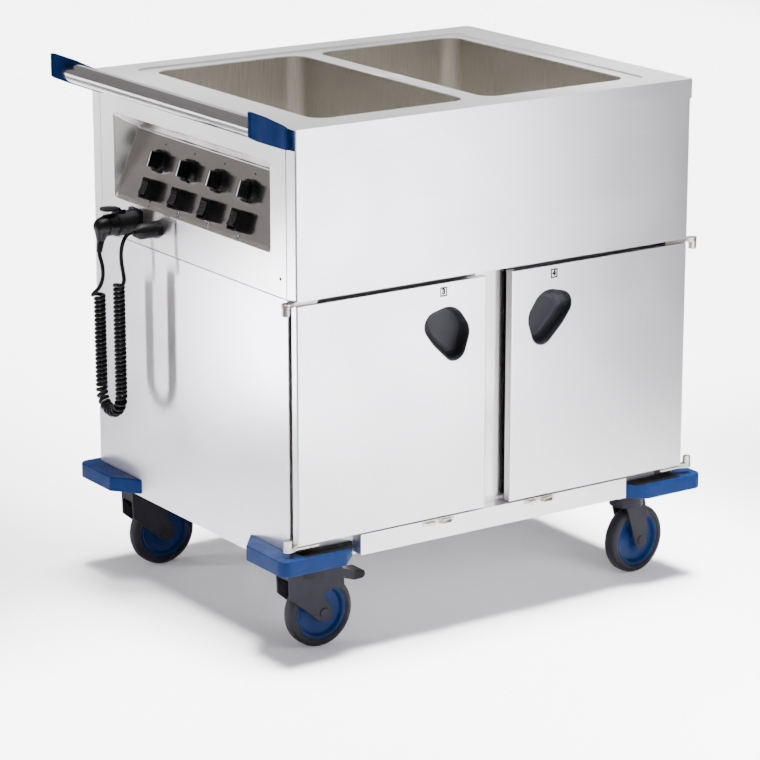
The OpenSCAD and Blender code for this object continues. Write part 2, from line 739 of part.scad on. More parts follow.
// Lid of the parking socket, lying open over the plug
module socket_lid() color(black) in_frame() translate([lid_pin[0], socket_y, lid_pin[1]]) difference() {
  union() {
    rotate([90, 0, 0]) cylinder(r = 4.2, h = 14.4, center = true);
    translate([-16, 0, 0.2]) linear_extrude(4) rrect(28, 28, 11);
  }
  rotate([90, 0, 0]) cylinder(r = 1.5 + run, h = 40, center = true);
  for (s = [-1, 1]) translate([0, s * 12, 0]) cube([9, 9.2, 10], center = true);
}

// Cord gland: a hexagonal base, a smooth dome and a short nose
module cord_gland() color(black) in_frame() {
  along_x(rim_out - 10, rim_out, gland_y, gland_z) circle(gland_r / cos(30), $fn = 6);
  along_x(gland_x + 12, rim_out - 10, gland_y, gland_z) circle(gland_r);
  translate([gland_x, gland_y, gland_z]) rotate([0, 90, 0]) {
    cylinder(r1 = 7, r2 = gland_r, h = 12);
  }
}

// Angled plug: a round head in the socket, an elbow down to the strain relief
plug_exit = [-71, 181.5, 612];
relief = [3.5, 0, 20];
elbow = [-64, 181.5, 656];
elbow_r = 16;

module plug() color(black) in_frame() {
  along_x(-58, socket_x, socket_y, socket_z) circle(19);
  hull() {
    along_x(-60, -57, socket_y, socket_z) circle(17.5, $fn = 32);
    translate(elbow) sphere(elbow_r, $fn = 32);
  }
  hull() {
    translate(elbow) sphere(elbow_r - 0.5, $fn = 24);
    translate(plug_exit + relief) cylinder(r = 7.5, h = 1, $fn = 32);
  }
  // strain relief with its rings
  hull() {
    translate(plug_exit) cylinder(r = 4.6, h = 1, $fn = 32);
    translate(plug_exit + relief) cylinder(r = 5, h = 1, $fn = 32);
  }
  for (k = [0:4]) translate(plug_exit + (0.05 + 0.2 * k) * relief)
    cylinder(r = 5.4 + k * 0.35, h = 2.2, $fn = 32);
}

// The curls hang in a U: down the body limb, round the bend and up the plug limb
cord_x = -68;
limb_body = [122, 566];
limb_plug = [190, 535];
bend_r = (limb_plug[0] - limb_body[0]) / 2;
bend_c = [limb_body[0] + bend_r, 369];
len_body = limb_body[1] - bend_c[1];
len_bend = PI * bend_r;
len_plug = limb_plug[1] - bend_c[1];
len_all = len_body + len_bend + len_plug;
end_lag = 60;

// Axis of the curls at length s, and its direction, in the YZ plane
function axis_at(s) =
  s < len_body ? [limb_body[0], limb_body[1] - s]
  : s < len_body + len_bend
    ? let (a = 180 + 180 * (s - len_body) / len_bend) bend_c + bend_r * [cos(a), sin(a)]
    : [limb_plug[0], bend_c[1] + s - len_body - len_bend];
function dir_at(s) =
  s < len_body ? [0, -1]
  : s < len_body + len_bend ? let (a = 270 + 180 * (s - len_body) / len_bend) [cos(a), sin(a)] : [0, 1];

// Turns made by length s: closer in the limbs than round the bend
function turns_raw(s) = min(s, len_body) / limb_pitch
  + min(max(s - len_body, 0), len_bend) / bend_pitch + max(s - len_body - len_bend, 0) / limb_pitch;
turns_all = curls - end_lag / 360;
function turn_at(s) = 360 * turns_all * turns_raw(s) / turns_raw(len_all);

// Point of the curled cord at length s along its axis
function curl_at(s) = let (p = axis_at(s), d = dir_at(s), a = turn_at(s), n = [-d[1], d[0]])
  [cord_x - curl_r * cos(a), p[0] + curl_r * sin(a) * n[0], p[1] + curl_r * sin(a) * n[1]];

curl_rings = 8;
curl_sides = 6;
curl_steps = round(turns_all * curl_rings);
curl_line = [for (i = [0:curl_steps]) curl_at(len_all * i / curl_steps)];

function unit(v) = v / norm(v);
function tangent(p, i) = unit(p[min(i + 1, len(p) - 1)] - p[max(i - 1, 0)]);

// Rings of a tube of radius r along the points p, each kept from twisting by its direction in refs
function ring_points(p, r, sides, refs) = [for (i = [0:len(p) - 1])
  let (t = tangent(p, i), a = unit(refs[i] - (refs[i] * t) * t), b = cross(t, a))
  for (k = [0:sides - 1]) p[i] + r * (cos(360 * k / sides) * a + sin(360 * k / sides) * b)];
function tube_faces(n, sides) = concat(
  [for (i = [0:n - 2], k = [0:sides - 1], h = [0, 1]) let (m = (k + 1) % sides, q = i * sides)
    h == 0 ? [q + sides + m, q + m, q + k] : [q + sides + k, q + sides + m, q + k]],
  [for (k = [1:sides - 2], h = [0, 1]) let (q = (n - 1) * sides)
    h == 0 ? [k, k + 1, 0] : [q + k + 1, q + k, q]]);

module tube(p, sides, refs)
  polyhedron(points = ring_points(p, cord_d / 2, sides, refs), faces = tube_faces(len(p), sides));

// Straight ends of the curls, one diameter long, and the directions in which the leads go on
start_dir = unit([0, -7, 1]);
end_dir = unit([-sin(end_lag), -cos(end_lag), 0.15]);
curl_start = curl_line[0] + cord_d * start_dir;
curl_end = curl_line[curl_steps] + cord_d * end_dir;

// Rings of the curls follow the radius of the U, so that they never twist
function curl_ref(i) = let (s = len_all * i / curl_steps, a = turn_at(s), d = dir_at(s))
  [-cos(a), sin(a) * -d[1], sin(a) * d[0]];

module cord_curls() color(black) in_frame() tube(concat([curl_start], curl_line, [curl_end]), curl_sides,
  concat([curl_ref(0)], [for (i = [0:curl_steps]) curl_ref(i)], [curl_ref(curl_steps)]));

// Least gap of the cord to itself, measured between points of neighbouring curls
gap_steps = 24 * curls;
gap_line = [for (i = [0:gap_steps]) curl_at(len_all * i / gap_steps)];
curl_gap = min([for (i = [0:gap_steps - 30], j = [i + 14:i + 30]) norm(gap_line[i] - gap_line[j])]) - cord_d;
echo(curl_gap = curl_gap, curl_length = len(curl_line) * norm(curl_line[1] - curl_line[0]));

// Free leads at both ends of the curls, by hand
body_route = [[gland_x, 103, 658], [-54, 103, 658], [-60, 103, 656], [-65, 103.5, 650], [-69, 105, 640],
  [-70.5, 107, 626], [-70.5, 107, 610], [-69.5, 104.5, 594], [-69, 102, 582], [-70, 101.5, 575],
  [-72, 102.5, 570.5], [-74.3, 106, 568], curl_start + 4 * start_dir, curl_start];
plug_route = [curl_end, curl_end + 2.5 * end_dir, [-81.6, 190, 536.5], [-82.2, 187.3, 538.5],
  [-81, 184.5, 541.5], [-78, 181.5, 545.5], [-74.3, 178.8, 551], [-71, 176.5, 559.5], [-69, 175, 571],
  [-69, 175, 584], [-70, 177, 595], [-70.8, 180, 602.5], [plug_exit[0], plug_exit[1], 607.5], plug_exit];
lead_sides = 8;

module cord_body() color(black) in_frame() tube(body_route, lead_sides, [for (p = body_route) [1, 1, 0]]);

module cord_plug() color(black) in_frame() tube(plug_route, lead_sides, [for (p = plug_route) [1, -1, 0]]);

// ---- Parts ----

worktop();
well(-1);  // well_1
well(1);  // well_2
front_apron();
rear_apron();
control_fascia();
end_fascia();
housing_floor();
well_heaters();
push_bar();
bracket_front();
bracket_rear();
side_panel_left();
side_panel_right();
rear_panel();
base_frame();
mullion();
liner_left();
liner_right();
door_left();
door_right();
seal_left();
seal_right();
grip_left();
grip_right();
hinge_brackets();
hinge_arms_left();
hinge_arms_right();
door_catches();
knob(1);  // knob_1
knob(2);  // knob_2
knob(3);  // knob_3
knob(4);  // knob_4
rocker(1);  // rocker_1
rocker(2);  // rocker_2
rocker(3);  // rocker_3
rocker(4);  // rocker_4
switch_collars();
thermostats();
parking_socket();
socket_lid();
cord_gland();
plug();
cord_body();
cord_curls();
cord_plug();
bumper(1);  // bumper_1
bumper(2);  // bumper_2
bumper(3);  // bumper_3
bumper(4);  // bumper_4
castor_fork(1);  // castor_fork_1
castor_fork(2);  // castor_fork_2
castor_fork(3);  // castor_fork_3
castor_fork(4);  // castor_fork_4
castor_wheel(1);  // castor_wheel_1
castor_wheel(2);  // castor_wheel_2
castor_wheel(3);  // castor_wheel_3
castor_wheel(4);  // castor_wheel_4
brake_pedal(1);  // brake_pedal_1
brake_pedal(2);  // brake_pedal_2
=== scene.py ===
"""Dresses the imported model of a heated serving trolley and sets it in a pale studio.

Lengths are in millimetres in the trolley's own coordinates, as in the part's source: X from the handle
end of the worktop, Y from the middle towards the back, Z above the floor. at() turns them to metres in
the shared frame.
"""

import logging
import math
from dataclasses import dataclass
from enum import Enum

import bmesh
import bpy
from mathutils import Matrix, Vector


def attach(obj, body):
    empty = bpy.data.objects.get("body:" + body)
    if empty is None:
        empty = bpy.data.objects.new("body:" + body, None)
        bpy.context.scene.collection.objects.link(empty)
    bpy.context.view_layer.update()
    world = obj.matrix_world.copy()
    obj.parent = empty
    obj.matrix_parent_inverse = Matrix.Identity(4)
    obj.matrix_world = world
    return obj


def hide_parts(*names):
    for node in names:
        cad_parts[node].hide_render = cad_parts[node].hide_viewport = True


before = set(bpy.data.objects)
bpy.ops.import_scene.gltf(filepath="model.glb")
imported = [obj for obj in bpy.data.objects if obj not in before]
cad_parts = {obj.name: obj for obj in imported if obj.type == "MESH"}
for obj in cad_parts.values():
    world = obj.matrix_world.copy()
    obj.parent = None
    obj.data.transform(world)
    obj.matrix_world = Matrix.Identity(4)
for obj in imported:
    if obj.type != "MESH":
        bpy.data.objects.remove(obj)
LOG = logging.getLogger("trolley")

Tree, Node, Socket = bpy.types.NodeTree, bpy.types.Node, bpy.types.NodeSocket
Object = bpy.types.Object
Pair, Triple = tuple[float, float], tuple[float, float, float]

MM = 0.001
# X of the frame's origin, the worktop's length and half its width, and Y of the doors' front face
ORIGIN_X = 383.0
TOP_LENGTH = 810.0
HALF_WIDTH = 330.0
FRONT_FACE = -327.5
# Numbers of the knobs, the rockers, the bumpers and the castors
FOUR = range(1, 5)
ALONG, UPWARDS = Vector((1.0, 0.0, 0.0)), Vector((0.0, 0.0, 1.0))
OUT_OF_FRONT, OUT_OF_END = Vector((0.0, -1.0, 0.0)), Vector((-1.0, 0.0, 0.0))

# Points of a mesh that lie closer than this are one point, in metres
WELD = 0.01 * MM
# Faces that meet at less than this angle shade as one
SMOOTH = math.radians(32)
# The same on the cord, which has fewer sides
CORD_SMOOTH = math.radians(40)
# Faces flatter to each other than the first are merged, and edges sharper than the second are rounded
FLAT, SHARP = math.radians(0.5), math.radians(38)
# Faces across a rounded edge, and the rounding of thin pieces in millimetres
BEVEL_STEPS = 2
THIN_BEVEL = 0.2
# Thickness of a print in millimetres
INK = 0.2
# Span in which a noise usually lies
NOISE_LOW, NOISE_HIGH = 0.3, 0.7
# Sockets of a Mix node for colours: its factor, both colours and the result
MIX_FACTOR, MIX_FIRST, MIX_SECOND, MIX_RESULT = 0, 6, 7, 2


def at(x: float, y: float, z: float) -> Vector:
    """Returns a point of the trolley's own coordinates, in millimetres, as metres in the frame."""
    return Vector(((x - ORIGIN_X) * MM, y * MM, z * MM))


def linear(hex_colour: str) -> tuple[float, float, float, float]:
    """Turns six hex digits of sRGB to the linear red, green, blue and alpha that shaders work in."""
    parts = [int(hex_colour[i : i + 2], 16) / 255 for i in (0, 2, 4)]
    low = 0.04045
    return (*(c / 12.92 if c <= low else ((c + 0.055) / 1.055) ** 2.4 for c in parts), 1.0)


def add_node(tree: Tree, kind: str, inputs: dict | None = None, **settings) -> Node:
    """Adds a shader node with its settings, its values and its links.

    Args:
        tree: The material's node tree.
        kind: Blender's name for the node type.
        inputs: Input names or numbers, each with a value or with the output socket to link from.
        **settings: Attributes of the node itself.

    Returns:
        The new node.
    """
    node = tree.nodes.new(kind)
    for key, value in settings.items():
        setattr(node, key, value)
    for key, value in (inputs or {}).items():
        if isinstance(value, Socket):
            tree.links.new(value, node.inputs[key])
        else:
            node.inputs[key].default_value = value
    return node


# Finishes


class Grain(Enum):
    """Direction in which a sheet was brushed: the stretch of the pattern along X, Y and Z."""

    ALONG_X = (1.0, 0.0, 0.0)
    ALONG_Y = (0.0, 1.0, 0.0)
    ALONG_Z = (0.0, 0.0, 1.0)


@dataclass(frozen=True)
class Finish:
    """A surface finish that is built once as a node material.

    Attributes:
        name: Plain name of the material and how it was made.
        colour: Main colour as sRGB hex.
        roughness: Middle value of the surface's roughness.
    """

    name: str
    colour: str
    roughness: float

    def material(self) -> bpy.types.Material:
        """Returns the finish's material, building it the first time."""
        found = bpy.data.materials.get(self.name)
        if found:
            return found
        made = bpy.data.materials.new(self.name)
        made.use_nodes = True
        made.diffuse_color = linear(self.colour)
        tree = made.node_tree
        shader = tree.nodes["Principled BSDF"]
        place = add_node(tree, "ShaderNodeTexCoord").outputs["Object"]
        self.dress(tree, shader, place)
        return made

    def dress(self, tree: Tree, shader: Node, place: Socket) -> None:
        """Fills in the shader. Each kind of finish does this in its own way.

        Args:
            tree: The material's node tree.
            shader: The Principled shader.
            place: Object coordinates, in metres.
        """
        raise NotImplementedError

    @staticmethod
    def pattern(tree: Tree, place: Socket, size: Triple, detail: float = 2.0) -> Socket:
        """Adds a noise whose features have a real size.

        Args:
            tree: The material's node tree.
            place: Coordinates in metres.
            size: Length of a feature along X, Y and Z, in millimetres.
            detail: How many finer layers the noise has.

        Returns:
            The noise's output, about 0 to 1.
        """
        scale = tuple(1 / (s * MM) for s in size)
        scaled = add_node(tree, "ShaderNodeMapping", {"Vector": place, "Scale": scale}).outputs[0]
        noise = add_node(tree, "ShaderNodeTexNoise", {"Vector": scaled, "Scale": 1.0, "Detail": detail})
        return noise.outputs["Fac"]

    @staticmethod
    def spread(tree: Tree, noise: Socket, low: float, high: float) -> Socket:
        """Maps a noise from its usual span to low and high."""
        span = {"From Min": NOISE_LOW, "From Max": NOISE_HIGH, "To Min": low, "To Max": high}
        return add_node(tree, "ShaderNodeMapRange", {"Value": noise, **span}).outputs["Result"]

    @staticmethod
    def beyond(tree: Tree, place: Socket, x: float) -> Socket:
        """Returns 0 on the handle's side of a plane across the trolley at x and 1 past it."""
        across = add_node(tree, "ShaderNodeSeparateXYZ", {0: place}).outputs["X"]
        past = add_node(tree, "ShaderNodeMath", {0: across, 1: at(x, 0, 0).x}, operation="GREATER_THAN")
        return past.outputs[0]

    def tinge(self, tree: Tree, shader: Node, noise: Socket, other: str, share: float) -> None:
        """Lets a share of a second colour show in the base colour where a noise is high."""
        factor = self.spread(tree, noise, 0.0, share)
        sockets = {MIX_FACTOR: factor, MIX_FIRST: linear(self.colour), MIX_SECOND: linear(other)}
        mixed = add_node(tree, "ShaderNodeMix", sockets, data_type="RGBA")
        tree.links.new(mixed.outputs[MIX_RESULT], shader.inputs["Base Color"])

    def wear(self, tree: Tree, shader: Node, noise: Socket, less: float, more: float) -> None:
        """Lets the roughness follow a noise, from less below its middle value to more above it."""
        rough = self.spread(tree, noise, self.roughness - less, self.roughness + more)
        tree.links.new(rough, shader.inputs["Roughness"])

    @staticmethod
    def relief(tree: Tree, shader: Node, height: Socket, strength: float, depth_mm: float) -> None:
        """Adds a fine relief with a pattern of heights, a strength and a depth in millimetres."""
        inputs = {"Height": height, "Strength": strength, "Distance": depth_mm * MM}
        tree.links.new(add_node(tree, "ShaderNodeBump", inputs).outputs[0], shader.inputs["Normal"])


@dataclass(frozen=True)
class BrushedSteel(Finish):
    """Chrome-nickel steel sheet, brushed in one direction.

    Attributes:
        streak: Colour of the darker streaks as sRGB hex.
        grain: Direction of the brushing.
        pitch_mm: Spacing of the streaks. Real grit leaves 0.1 mm lines, which are too fine to show here.
        length_mm: Length of a streak.
        stretch: How far highlights are drawn out across the brushing.
        cloud_mm: Size of the slow clouds that handling leaves.
    """

    streak: str = "b4b5b8"
    grain: Grain = Grain.ALONG_X
    pitch_mm: float = 0.9
    length_mm: float = 90.0
    stretch: float = 0.35
    cloud_mm: float = 160.0

    def dress(self, tree: Tree, shader: Node, place: Socket) -> None:
        """Fine streaks in colour, roughness and relief, under a slow cloudiness."""
        size = tuple(self.pitch_mm + (self.length_mm - self.pitch_mm) * along for along in self.grain.value)
        streaks = self.pattern(tree, place, size)
        clouds = self.pattern(tree, place, (self.cloud_mm,) * 3, 1.0)
        both = add_node(tree, "ShaderNodeMath", {0: streaks, 1: clouds}, operation="ADD").outputs[0]
        mean = add_node(tree, "ShaderNodeMath", {0: both, 1: 0.5}, operation="MULTIPLY").outputs[0]
        shader.inputs["Metallic"].default_value = 1.0
        shader.inputs["Anisotropic"].default_value = self.stretch
        self.tinge(tree, shader, mean, self.streak, 1.0)
        self.wear(tree, shader, mean, less=0.05, more=0.06)
        self.relief(tree, shader, streaks, strength=0.08, depth_mm=0.2)


@dataclass(frozen=True)
class RecessedSteel(BrushedSteel):
    """Brushed sheet with a recess whose panel was left bright.

    Attributes:
        recess_x: X past which the recess lies, in millimetres in the trolley's coordinates.
        brighter: How much less rough the recess is.
    """

    recess_x: float = 0.0
    brighter: float = 0.0

    def dress(self, tree: Tree, shader: Node, place: Socket) -> None:
        """The brushed sheet, with less roughness past the face of the sheet."""
        super().dress(tree, shader, place)
        rough = shader.inputs["Roughness"].links[0].from_socket
        past = self.beyond(tree, place, self.recess_x)
        less = add_node(tree, "ShaderNodeMath", {0: past, 1: self.brighter}, operation="MULTIPLY").outputs[0]
        bright = add_node(tree, "ShaderNodeMath", {0: rough, 1: less}, operation="SUBTRACT").outputs[0]
        tree.links.new(bright, shader.inputs["Roughness"])


@dataclass(frozen=True)
class Moulded(Finish):
    """Injection-moulded plastic with a spark-eroded grain.

    Attributes:
        shade: Colour of the worn or dusty places as sRGB hex.
        grit_mm: Size of the mould's grain.
        grit: Strength of the grain, from 0 to 1.
        coat: Strength of a clear gloss on top.
        shine: Strength of the plain reflection, 0.5 for clean plastic.
        shade_mm: Size of the places with another shade.
        coat_roughness: Roughness of the gloss.
    """

    shade: str = "000000"
    grit_mm: float = 0.8
    grit: float = 0.15
    coat: float = 0.0
    shine: float = 0.25
    shade_mm: float = 35.0
    coat_roughness: float = 0.12

    def dress(self, tree: Tree, shader: Node, place: Socket) -> None:
        """A fine grain in the relief and a slow change of shade."""
        fine = self.pattern(tree, place, (self.grit_mm,) * 3, 1.0)
        slow = self.pattern(tree, place, (self.shade_mm,) * 3)
        self.tinge(tree, shader, slow, self.shade, 0.5)
        self.wear(tree, shader, slow, less=0.05, more=0.08)
        shader.inputs["Specular IOR Level"].default_value = self.shine
        shader.inputs["Coat Weight"].default_value = self.coat
        shader.inputs["Coat Roughness"].default_value = self.coat_roughness
        self.relief(tree, shader, fine, self.grit, depth_mm=0.3)


@dataclass(frozen=True)
class Capped(Moulded):
    """A moulding whose end wears a cap of another colour.

    Attributes:
        cap: Colour of the cap as sRGB hex.
        cap_x: X at which the cap starts, in millimetres in the trolley's coordinates.
    """

    cap: str = "060608"
    cap_x: float = 0.0

    def dress(self, tree: Tree, shader: Node, place: Socket) -> None:
        """The moulding's own grain, with the cap's colour past the line where it starts."""
        super().dress(tree, shader, place)
        body = shader.inputs["Base Color"].links[0].from_socket
        past = self.beyond(tree, place, self.cap_x)
        sockets = {MIX_FACTOR: past, MIX_FIRST: body, MIX_SECOND: linear(self.cap)}
        both = add_node(tree, "ShaderNodeMix", sockets, data_type="RGBA")
        tree.links.new(both.outputs[MIX_RESULT], shader.inputs["Base Color"])


@dataclass(frozen=True)
class Rubber(Finish):
    """Cured rubber with a faint bloom.

    Attributes:
        bloom: Colour of the bloom as sRGB hex.
        patch_mm: Size of its patches.
        sheen: Strength of the soft rim of light that rubber shows.
        grit_mm: Size of its fine grain.
        shine: Strength of the plain reflection.
    """

    bloom: str = "6a6a6c"
    patch_mm: float = 14.0
    sheen: float = 0.1
    grit_mm: float = 0.7
    shine: float = 0.1

    def dress(self, tree: Tree, shader: Node, place: Socket) -> None:
        """Patches of bloom in the colour, and a fine roughness."""
        shader.inputs["Specular IOR Level"].default_value = self.shine
        patches = self.pattern(tree, place, (self.patch_mm,) * 3, 4.0)
        self.tinge(tree, shader, patches, self.bloom, 0.35)
        self.wear(tree, shader, patches, less=0.06, more=0.1)
        shader.inputs["Sheen Weight"].default_value = self.sheen
        fine = self.pattern(tree, place, (self.grit_mm,) * 3, 1.0)
        self.relief(tree, shader, fine, strength=0.12, depth_mm=0.2)


@dataclass(frozen=True)
class Print(Finish):
    """Screen print or a painted mark, slightly uneven.

    Attributes:
        thin: Colour where the ink is thin as sRGB hex.
        patch_mm: Size of the thin places.
        shine: Strength of the plain reflection.
    """

    thin: str = "9a9a9a"
    patch_mm: float = 1.5
    shine: float = 0.15

    def dress(self, tree: Tree, shader: Node, place: Socket) -> None:
        """Ink that is a little thinner in places."""
        uneven = self.pattern(tree, place, (self.patch_mm,) * 3)
        self.tinge(tree, shader, uneven, self.thin, 0.2)
        shader.inputs["Roughness"].default_value = self.roughness
        shader.inputs["Specular IOR Level"].default_value = self.shine


@dataclass(frozen=True)
class StudioPaint(Finish):
    """Matt white studio floor."""

    def dress(self, tree: Tree, shader: Node, place: Socket) -> None:
        """An even matt coat."""
        shader.inputs["Base Color"].default_value = linear(self.colour)
        shader.inputs["Roughness"].default_value = self.roughness


# Sheet steel 1.4301 with a fine brushed surface: a silky, pale reflection with soft streaks
STEEL_LENGTHWISE = BrushedSteel("brushed_sheet_steel_x", "e6e6e8", 0.34, streak="dadadd")
STEEL_CROSSWISE = BrushedSteel("brushed_sheet_steel_y", "e6e4e8", 0.33, streak="dbd9de", grain=Grain.ALONG_Y)
STEEL_UPRIGHT = BrushedSteel("brushed_sheet_steel_z", "e6e6e8", 0.34, streak="dcdcdf", grain=Grain.ALONG_Z)
# The same steel, bright rolled, in the control recess and on the post between the doors
STEEL_PANEL = RecessedSteel("bright_rolled_steel_y", "e2dfdf", 0.31, streak="d6d3d2", grain=Grain.ALONG_Y,
                            recess_x=5.0, brighter=0.12)
STEEL_POST = BrushedSteel("bright_rolled_steel_z", "dfdcda", 0.17, streak="d2cfcc", grain=Grain.ALONG_Z)
# Drawn steel of the wells and the cupboard liners: duller, and darker and warmer in colour than the sheets
STEEL_DRAWN = BrushedSteel("deep_drawn_steel", "c6c3bd", 0.38, streak="aeaba5", grain=Grain.ALONG_Z,
                           pitch_mm=2.0, length_mm=40.0, stretch=0.1)
# Ground and polished tube of the push bar
STEEL_TUBE = BrushedSteel("polished_steel_tube", "dcdde0", 0.13, streak="c8c9cc", grain=Grain.ALONG_Y,
                          pitch_mm=1.2)
# Stamped hinge parts and clips
STEEL_STAMPED = BrushedSteel("stamped_steel", "bdbab2", 0.3, streak="8f8c86", pitch_mm=1.5, length_mm=12.0)
# Blue polyamide of the corner pieces: satin, with a fine eroded grain
BLUE_POLYAMIDE = Moulded("blue_polyamide", "0a214a", 0.42, shade="081a3c", grit_mm=1.0, grit=0.2, shine=0.05)
# Blue polypropylene of the wheel discs
BLUE_DISC = Moulded("blue_polypropylene_disc", "091c3e", 0.38, shade="071633", grit_mm=1.2, grit=0.1,
                    shine=0.05)
# Glass-filled polyamide of the castor forks
GREY_POLYAMIDE = Moulded("dark_grey_polyamide", "1b1a20", 0.48, shade="161519", grit_mm=0.9, grit=0.25,
                         shine=0.06)
# The brake lever: the same, with a black tip
LEVER_POLYAMIDE = Capped("dark_grey_polyamide_black_tip", "1b1a20", 0.44, shade="161519", grit_mm=0.9,
                         grit=0.25, shine=0.06, cap="030303", cap_x=149.0)
# Charcoal ABS of the finger grips
CHARCOAL_ABS = Moulded("charcoal_abs", "1c1c22", 0.5, shade="16161b", grit_mm=0.7, grit=0.25, shine=0.2)
# Glossy black phenolic of the knobs and the switches' collars
BLACK_GLOSS = Moulded("black_gloss_phenolic", "060608", 0.25, shade="0a0a0c", grit_mm=0.6, grit=0.05,
                      coat=0.1, shine=0.15)
# Satin black plastic of the rockers, the plug, the socket and the gland
BLACK_SATIN = Moulded("black_satin_polyamide", "070708", 0.4, shade="0b0b0d", grit_mm=0.6, shine=0.15)
# Polyurethane sheath of the curly cord
CORD_SHEATH = Rubber("black_polyurethane_sheath", "060607", 0.36, bloom="0c0c0e", patch_mm=6.0, sheen=0.0)
# Door seal, and the black strips and pads round the doors, which are painted shade in the deep gaps above and
# below them
SEAL_RUBBER = Rubber("black_seal_rubber", "060606", 0.7, bloom="0c0c0c", sheen=0.0)
# Grey thermoplastic rubber of the treads
TREAD_RUBBER = Rubber("dark_grey_tread_rubber", "17161b", 0.58, bloom="212026", patch_mm=22.0, sheen=0.02)
WHITE_PRINT = Print("white_print", "f2f2ef", 0.5)
BLACK_PRINT = Print("black_print", "030303", 0.55, thin="141415")
FLOOR_PAINT = StudioPaint("matt_white_floor", "f4f4f4", 0.9)


# Modelling with operators


def start_modelling() -> None:
    """Leaves edit mode and deselects everything, so that the next operator acts on its own piece only."""
    if bpy.context.object and bpy.context.object.mode != "OBJECT":
        bpy.ops.object.mode_set(mode="OBJECT")
    bpy.ops.object.select_all(action="DESELECT")


def hand_over(piece: Object, name: str, body: str, finish: Finish) -> None:
    """Applies a finished piece's place, names it, colours it and lets it ride.

    Args:
        piece: The piece, selected and active.
        name: Its name.
        body: The body that carries it.
        finish: Its finish.
    """
    bpy.ops.object.transform_apply(location=True, rotation=True, scale=True)
    piece.name = name
    piece.data.name = name
    piece.data.materials.clear()
    piece.data.materials.append(finish.material())
    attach(piece, body)
    LOG.info("%s rides on %s", name, body)


def turned(profile: list[Pair], sides: int, closed: bool) -> Object:
    """Turns a piece on a lathe: a circle is extruded along Z and resized from point to point.

    Args:
        profile: Radius and height of each point, in millimetres.
        sides: Number of sides round the axis.
        closed: Whether the last ring joins the first. An open profile gets a flat cap at both ends.

    Returns:
        The piece, active, selected and in object mode.
    """
    start_modelling()
    radius, height = profile[0]
    bpy.ops.mesh.primitive_circle_add(vertices=sides, radius=radius * MM, location=(0, 0, height * MM),
                                      fill_type="NOTHING" if closed else "NGON")
    piece = bpy.context.object
    bpy.ops.object.transform_apply(location=True, rotation=False, scale=False)
    bpy.ops.object.mode_set(mode="EDIT")
    bpy.ops.mesh.select_all(action="SELECT")
    extrude = bpy.ops.mesh.extrude_edges_move if closed else bpy.ops.mesh.extrude_region_move
    for next_radius, next_height in profile[1:]:
        extrude(TRANSFORM_OT_translate={"value": (0, 0, (next_height - height) * MM)})
        ratio = next_radius / radius
        bpy.ops.transform.resize(value=(ratio, ratio, 1))
        radius, height = next_radius, next_height
    bpy.ops.mesh.select_all(action="SELECT")
    bpy.ops.mesh.remove_doubles(threshold=WELD)
    bpy.ops.mesh.normals_make_consistent(inside=False)
    bpy.ops.object.mode_set(mode="OBJECT")
    bpy.ops.object.shade_smooth_by_angle(angle=SMOOTH)
    return piece


def block(size: Triple, bevel: float) -> Object:
    """Makes a block with rounded edges round the origin.

    Args:
        size: Length, width and height in millimetres.
        bevel: Width of the rounding in millimetres.

    Returns:
        The piece, active, selected and in object mode.
    """
    start_modelling()
    bpy.ops.mesh.primitive_cube_add(size=1, scale=tuple(s * MM for s in size))
    piece = bpy.context.object
    bpy.ops.object.transform_apply(location=False, rotation=False, scale=True)
    bpy.ops.object.mode_set(mode="EDIT")
    bpy.ops.mesh.select_all(action="SELECT")
    bpy.ops.mesh.bevel(offset=bevel * MM, segments=BEVEL_STEPS, affect="EDGES")
    bpy.ops.object.mode_set(mode="OBJECT")
    bpy.ops.object.shade_smooth_by_angle(angle=SMOOTH)
    return piece


def put(piece: Object, place: Vector, out: Vector, up: Vector) -> None:
    """Places a piece with its origin at place, in metres, its local Z along out and its local X along up."""
    z = out.normalized()
    x = (up - up.dot(z) * z).normalized()
    turn = Matrix((x, z.cross(x), z)).transposed()
    piece.matrix_world = Matrix.Translation(place) @ turn.to_4x4()


def lettering(text: str, height: float, bold: float) -> Object:
    """Makes a figure as a flat mesh, centred, with its top towards local Y.

    Args:
        text: The figure.
        height: Size of the type in millimetres.
        bold: How far its outline is pushed out, in millimetres.

    Returns:
        The mesh object.
    """
    start_modelling()
    bpy.ops.object.text_add()
    piece = bpy.context.object
    piece.data.body = text
    piece.data.size = height * MM
    piece.data.extrude = INK * MM / 2
    piece.data.offset = bold * MM
    piece.data.align_x = "CENTER"
    piece.data.align_y = "CENTER"
    bpy.ops.object.convert(target="MESH")
    return bpy.context.object


def soften(piece: Object, width: float) -> None:
    """Rounds the edges of a CAD node with live modifiers, for the light that real edges catch.

    Args:
        piece: The node's object.
        width: Width of the rounding in millimetres.
    """
    for face in piece.data.polygons:
        face.use_smooth = True
    weld = piece.modifiers.new("weld", "WELD")
    weld.merge_threshold = WELD
    flat = piece.modifiers.new("merge_flat_faces", "DECIMATE")
    flat.decimate_type = "DISSOLVE"
    flat.angle_limit = FLAT
    edge = piece.modifiers.new("edge", "BEVEL")
    edge.width = width * MM
    edge.segments = BEVEL_STEPS
    edge.limit_method = "ANGLE"
    edge.angle_limit = SHARP
    edge.use_clamp_overlap = True
    normals = piece.modifiers.new("normals", "WEIGHTED_NORMAL")
    normals.keep_sharp = True


def dress(finish: Finish, nodes: list[str], rounding: float = 0.0) -> None:
    """Gives CAD nodes their finish and, where asked, rounded edges.

    Args:
        finish: The finish.
        nodes: The nodes' names.
        rounding: Width of the edge rounding in millimetres, or 0 for none.
    """
    for name in nodes:
        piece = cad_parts[name]
        piece.data.materials.clear()
        piece.data.materials.append(finish.material())
        if rounding:
            soften(piece, rounding)
        LOG.info("%s dressed in %s", name, finish.name)


# Studio


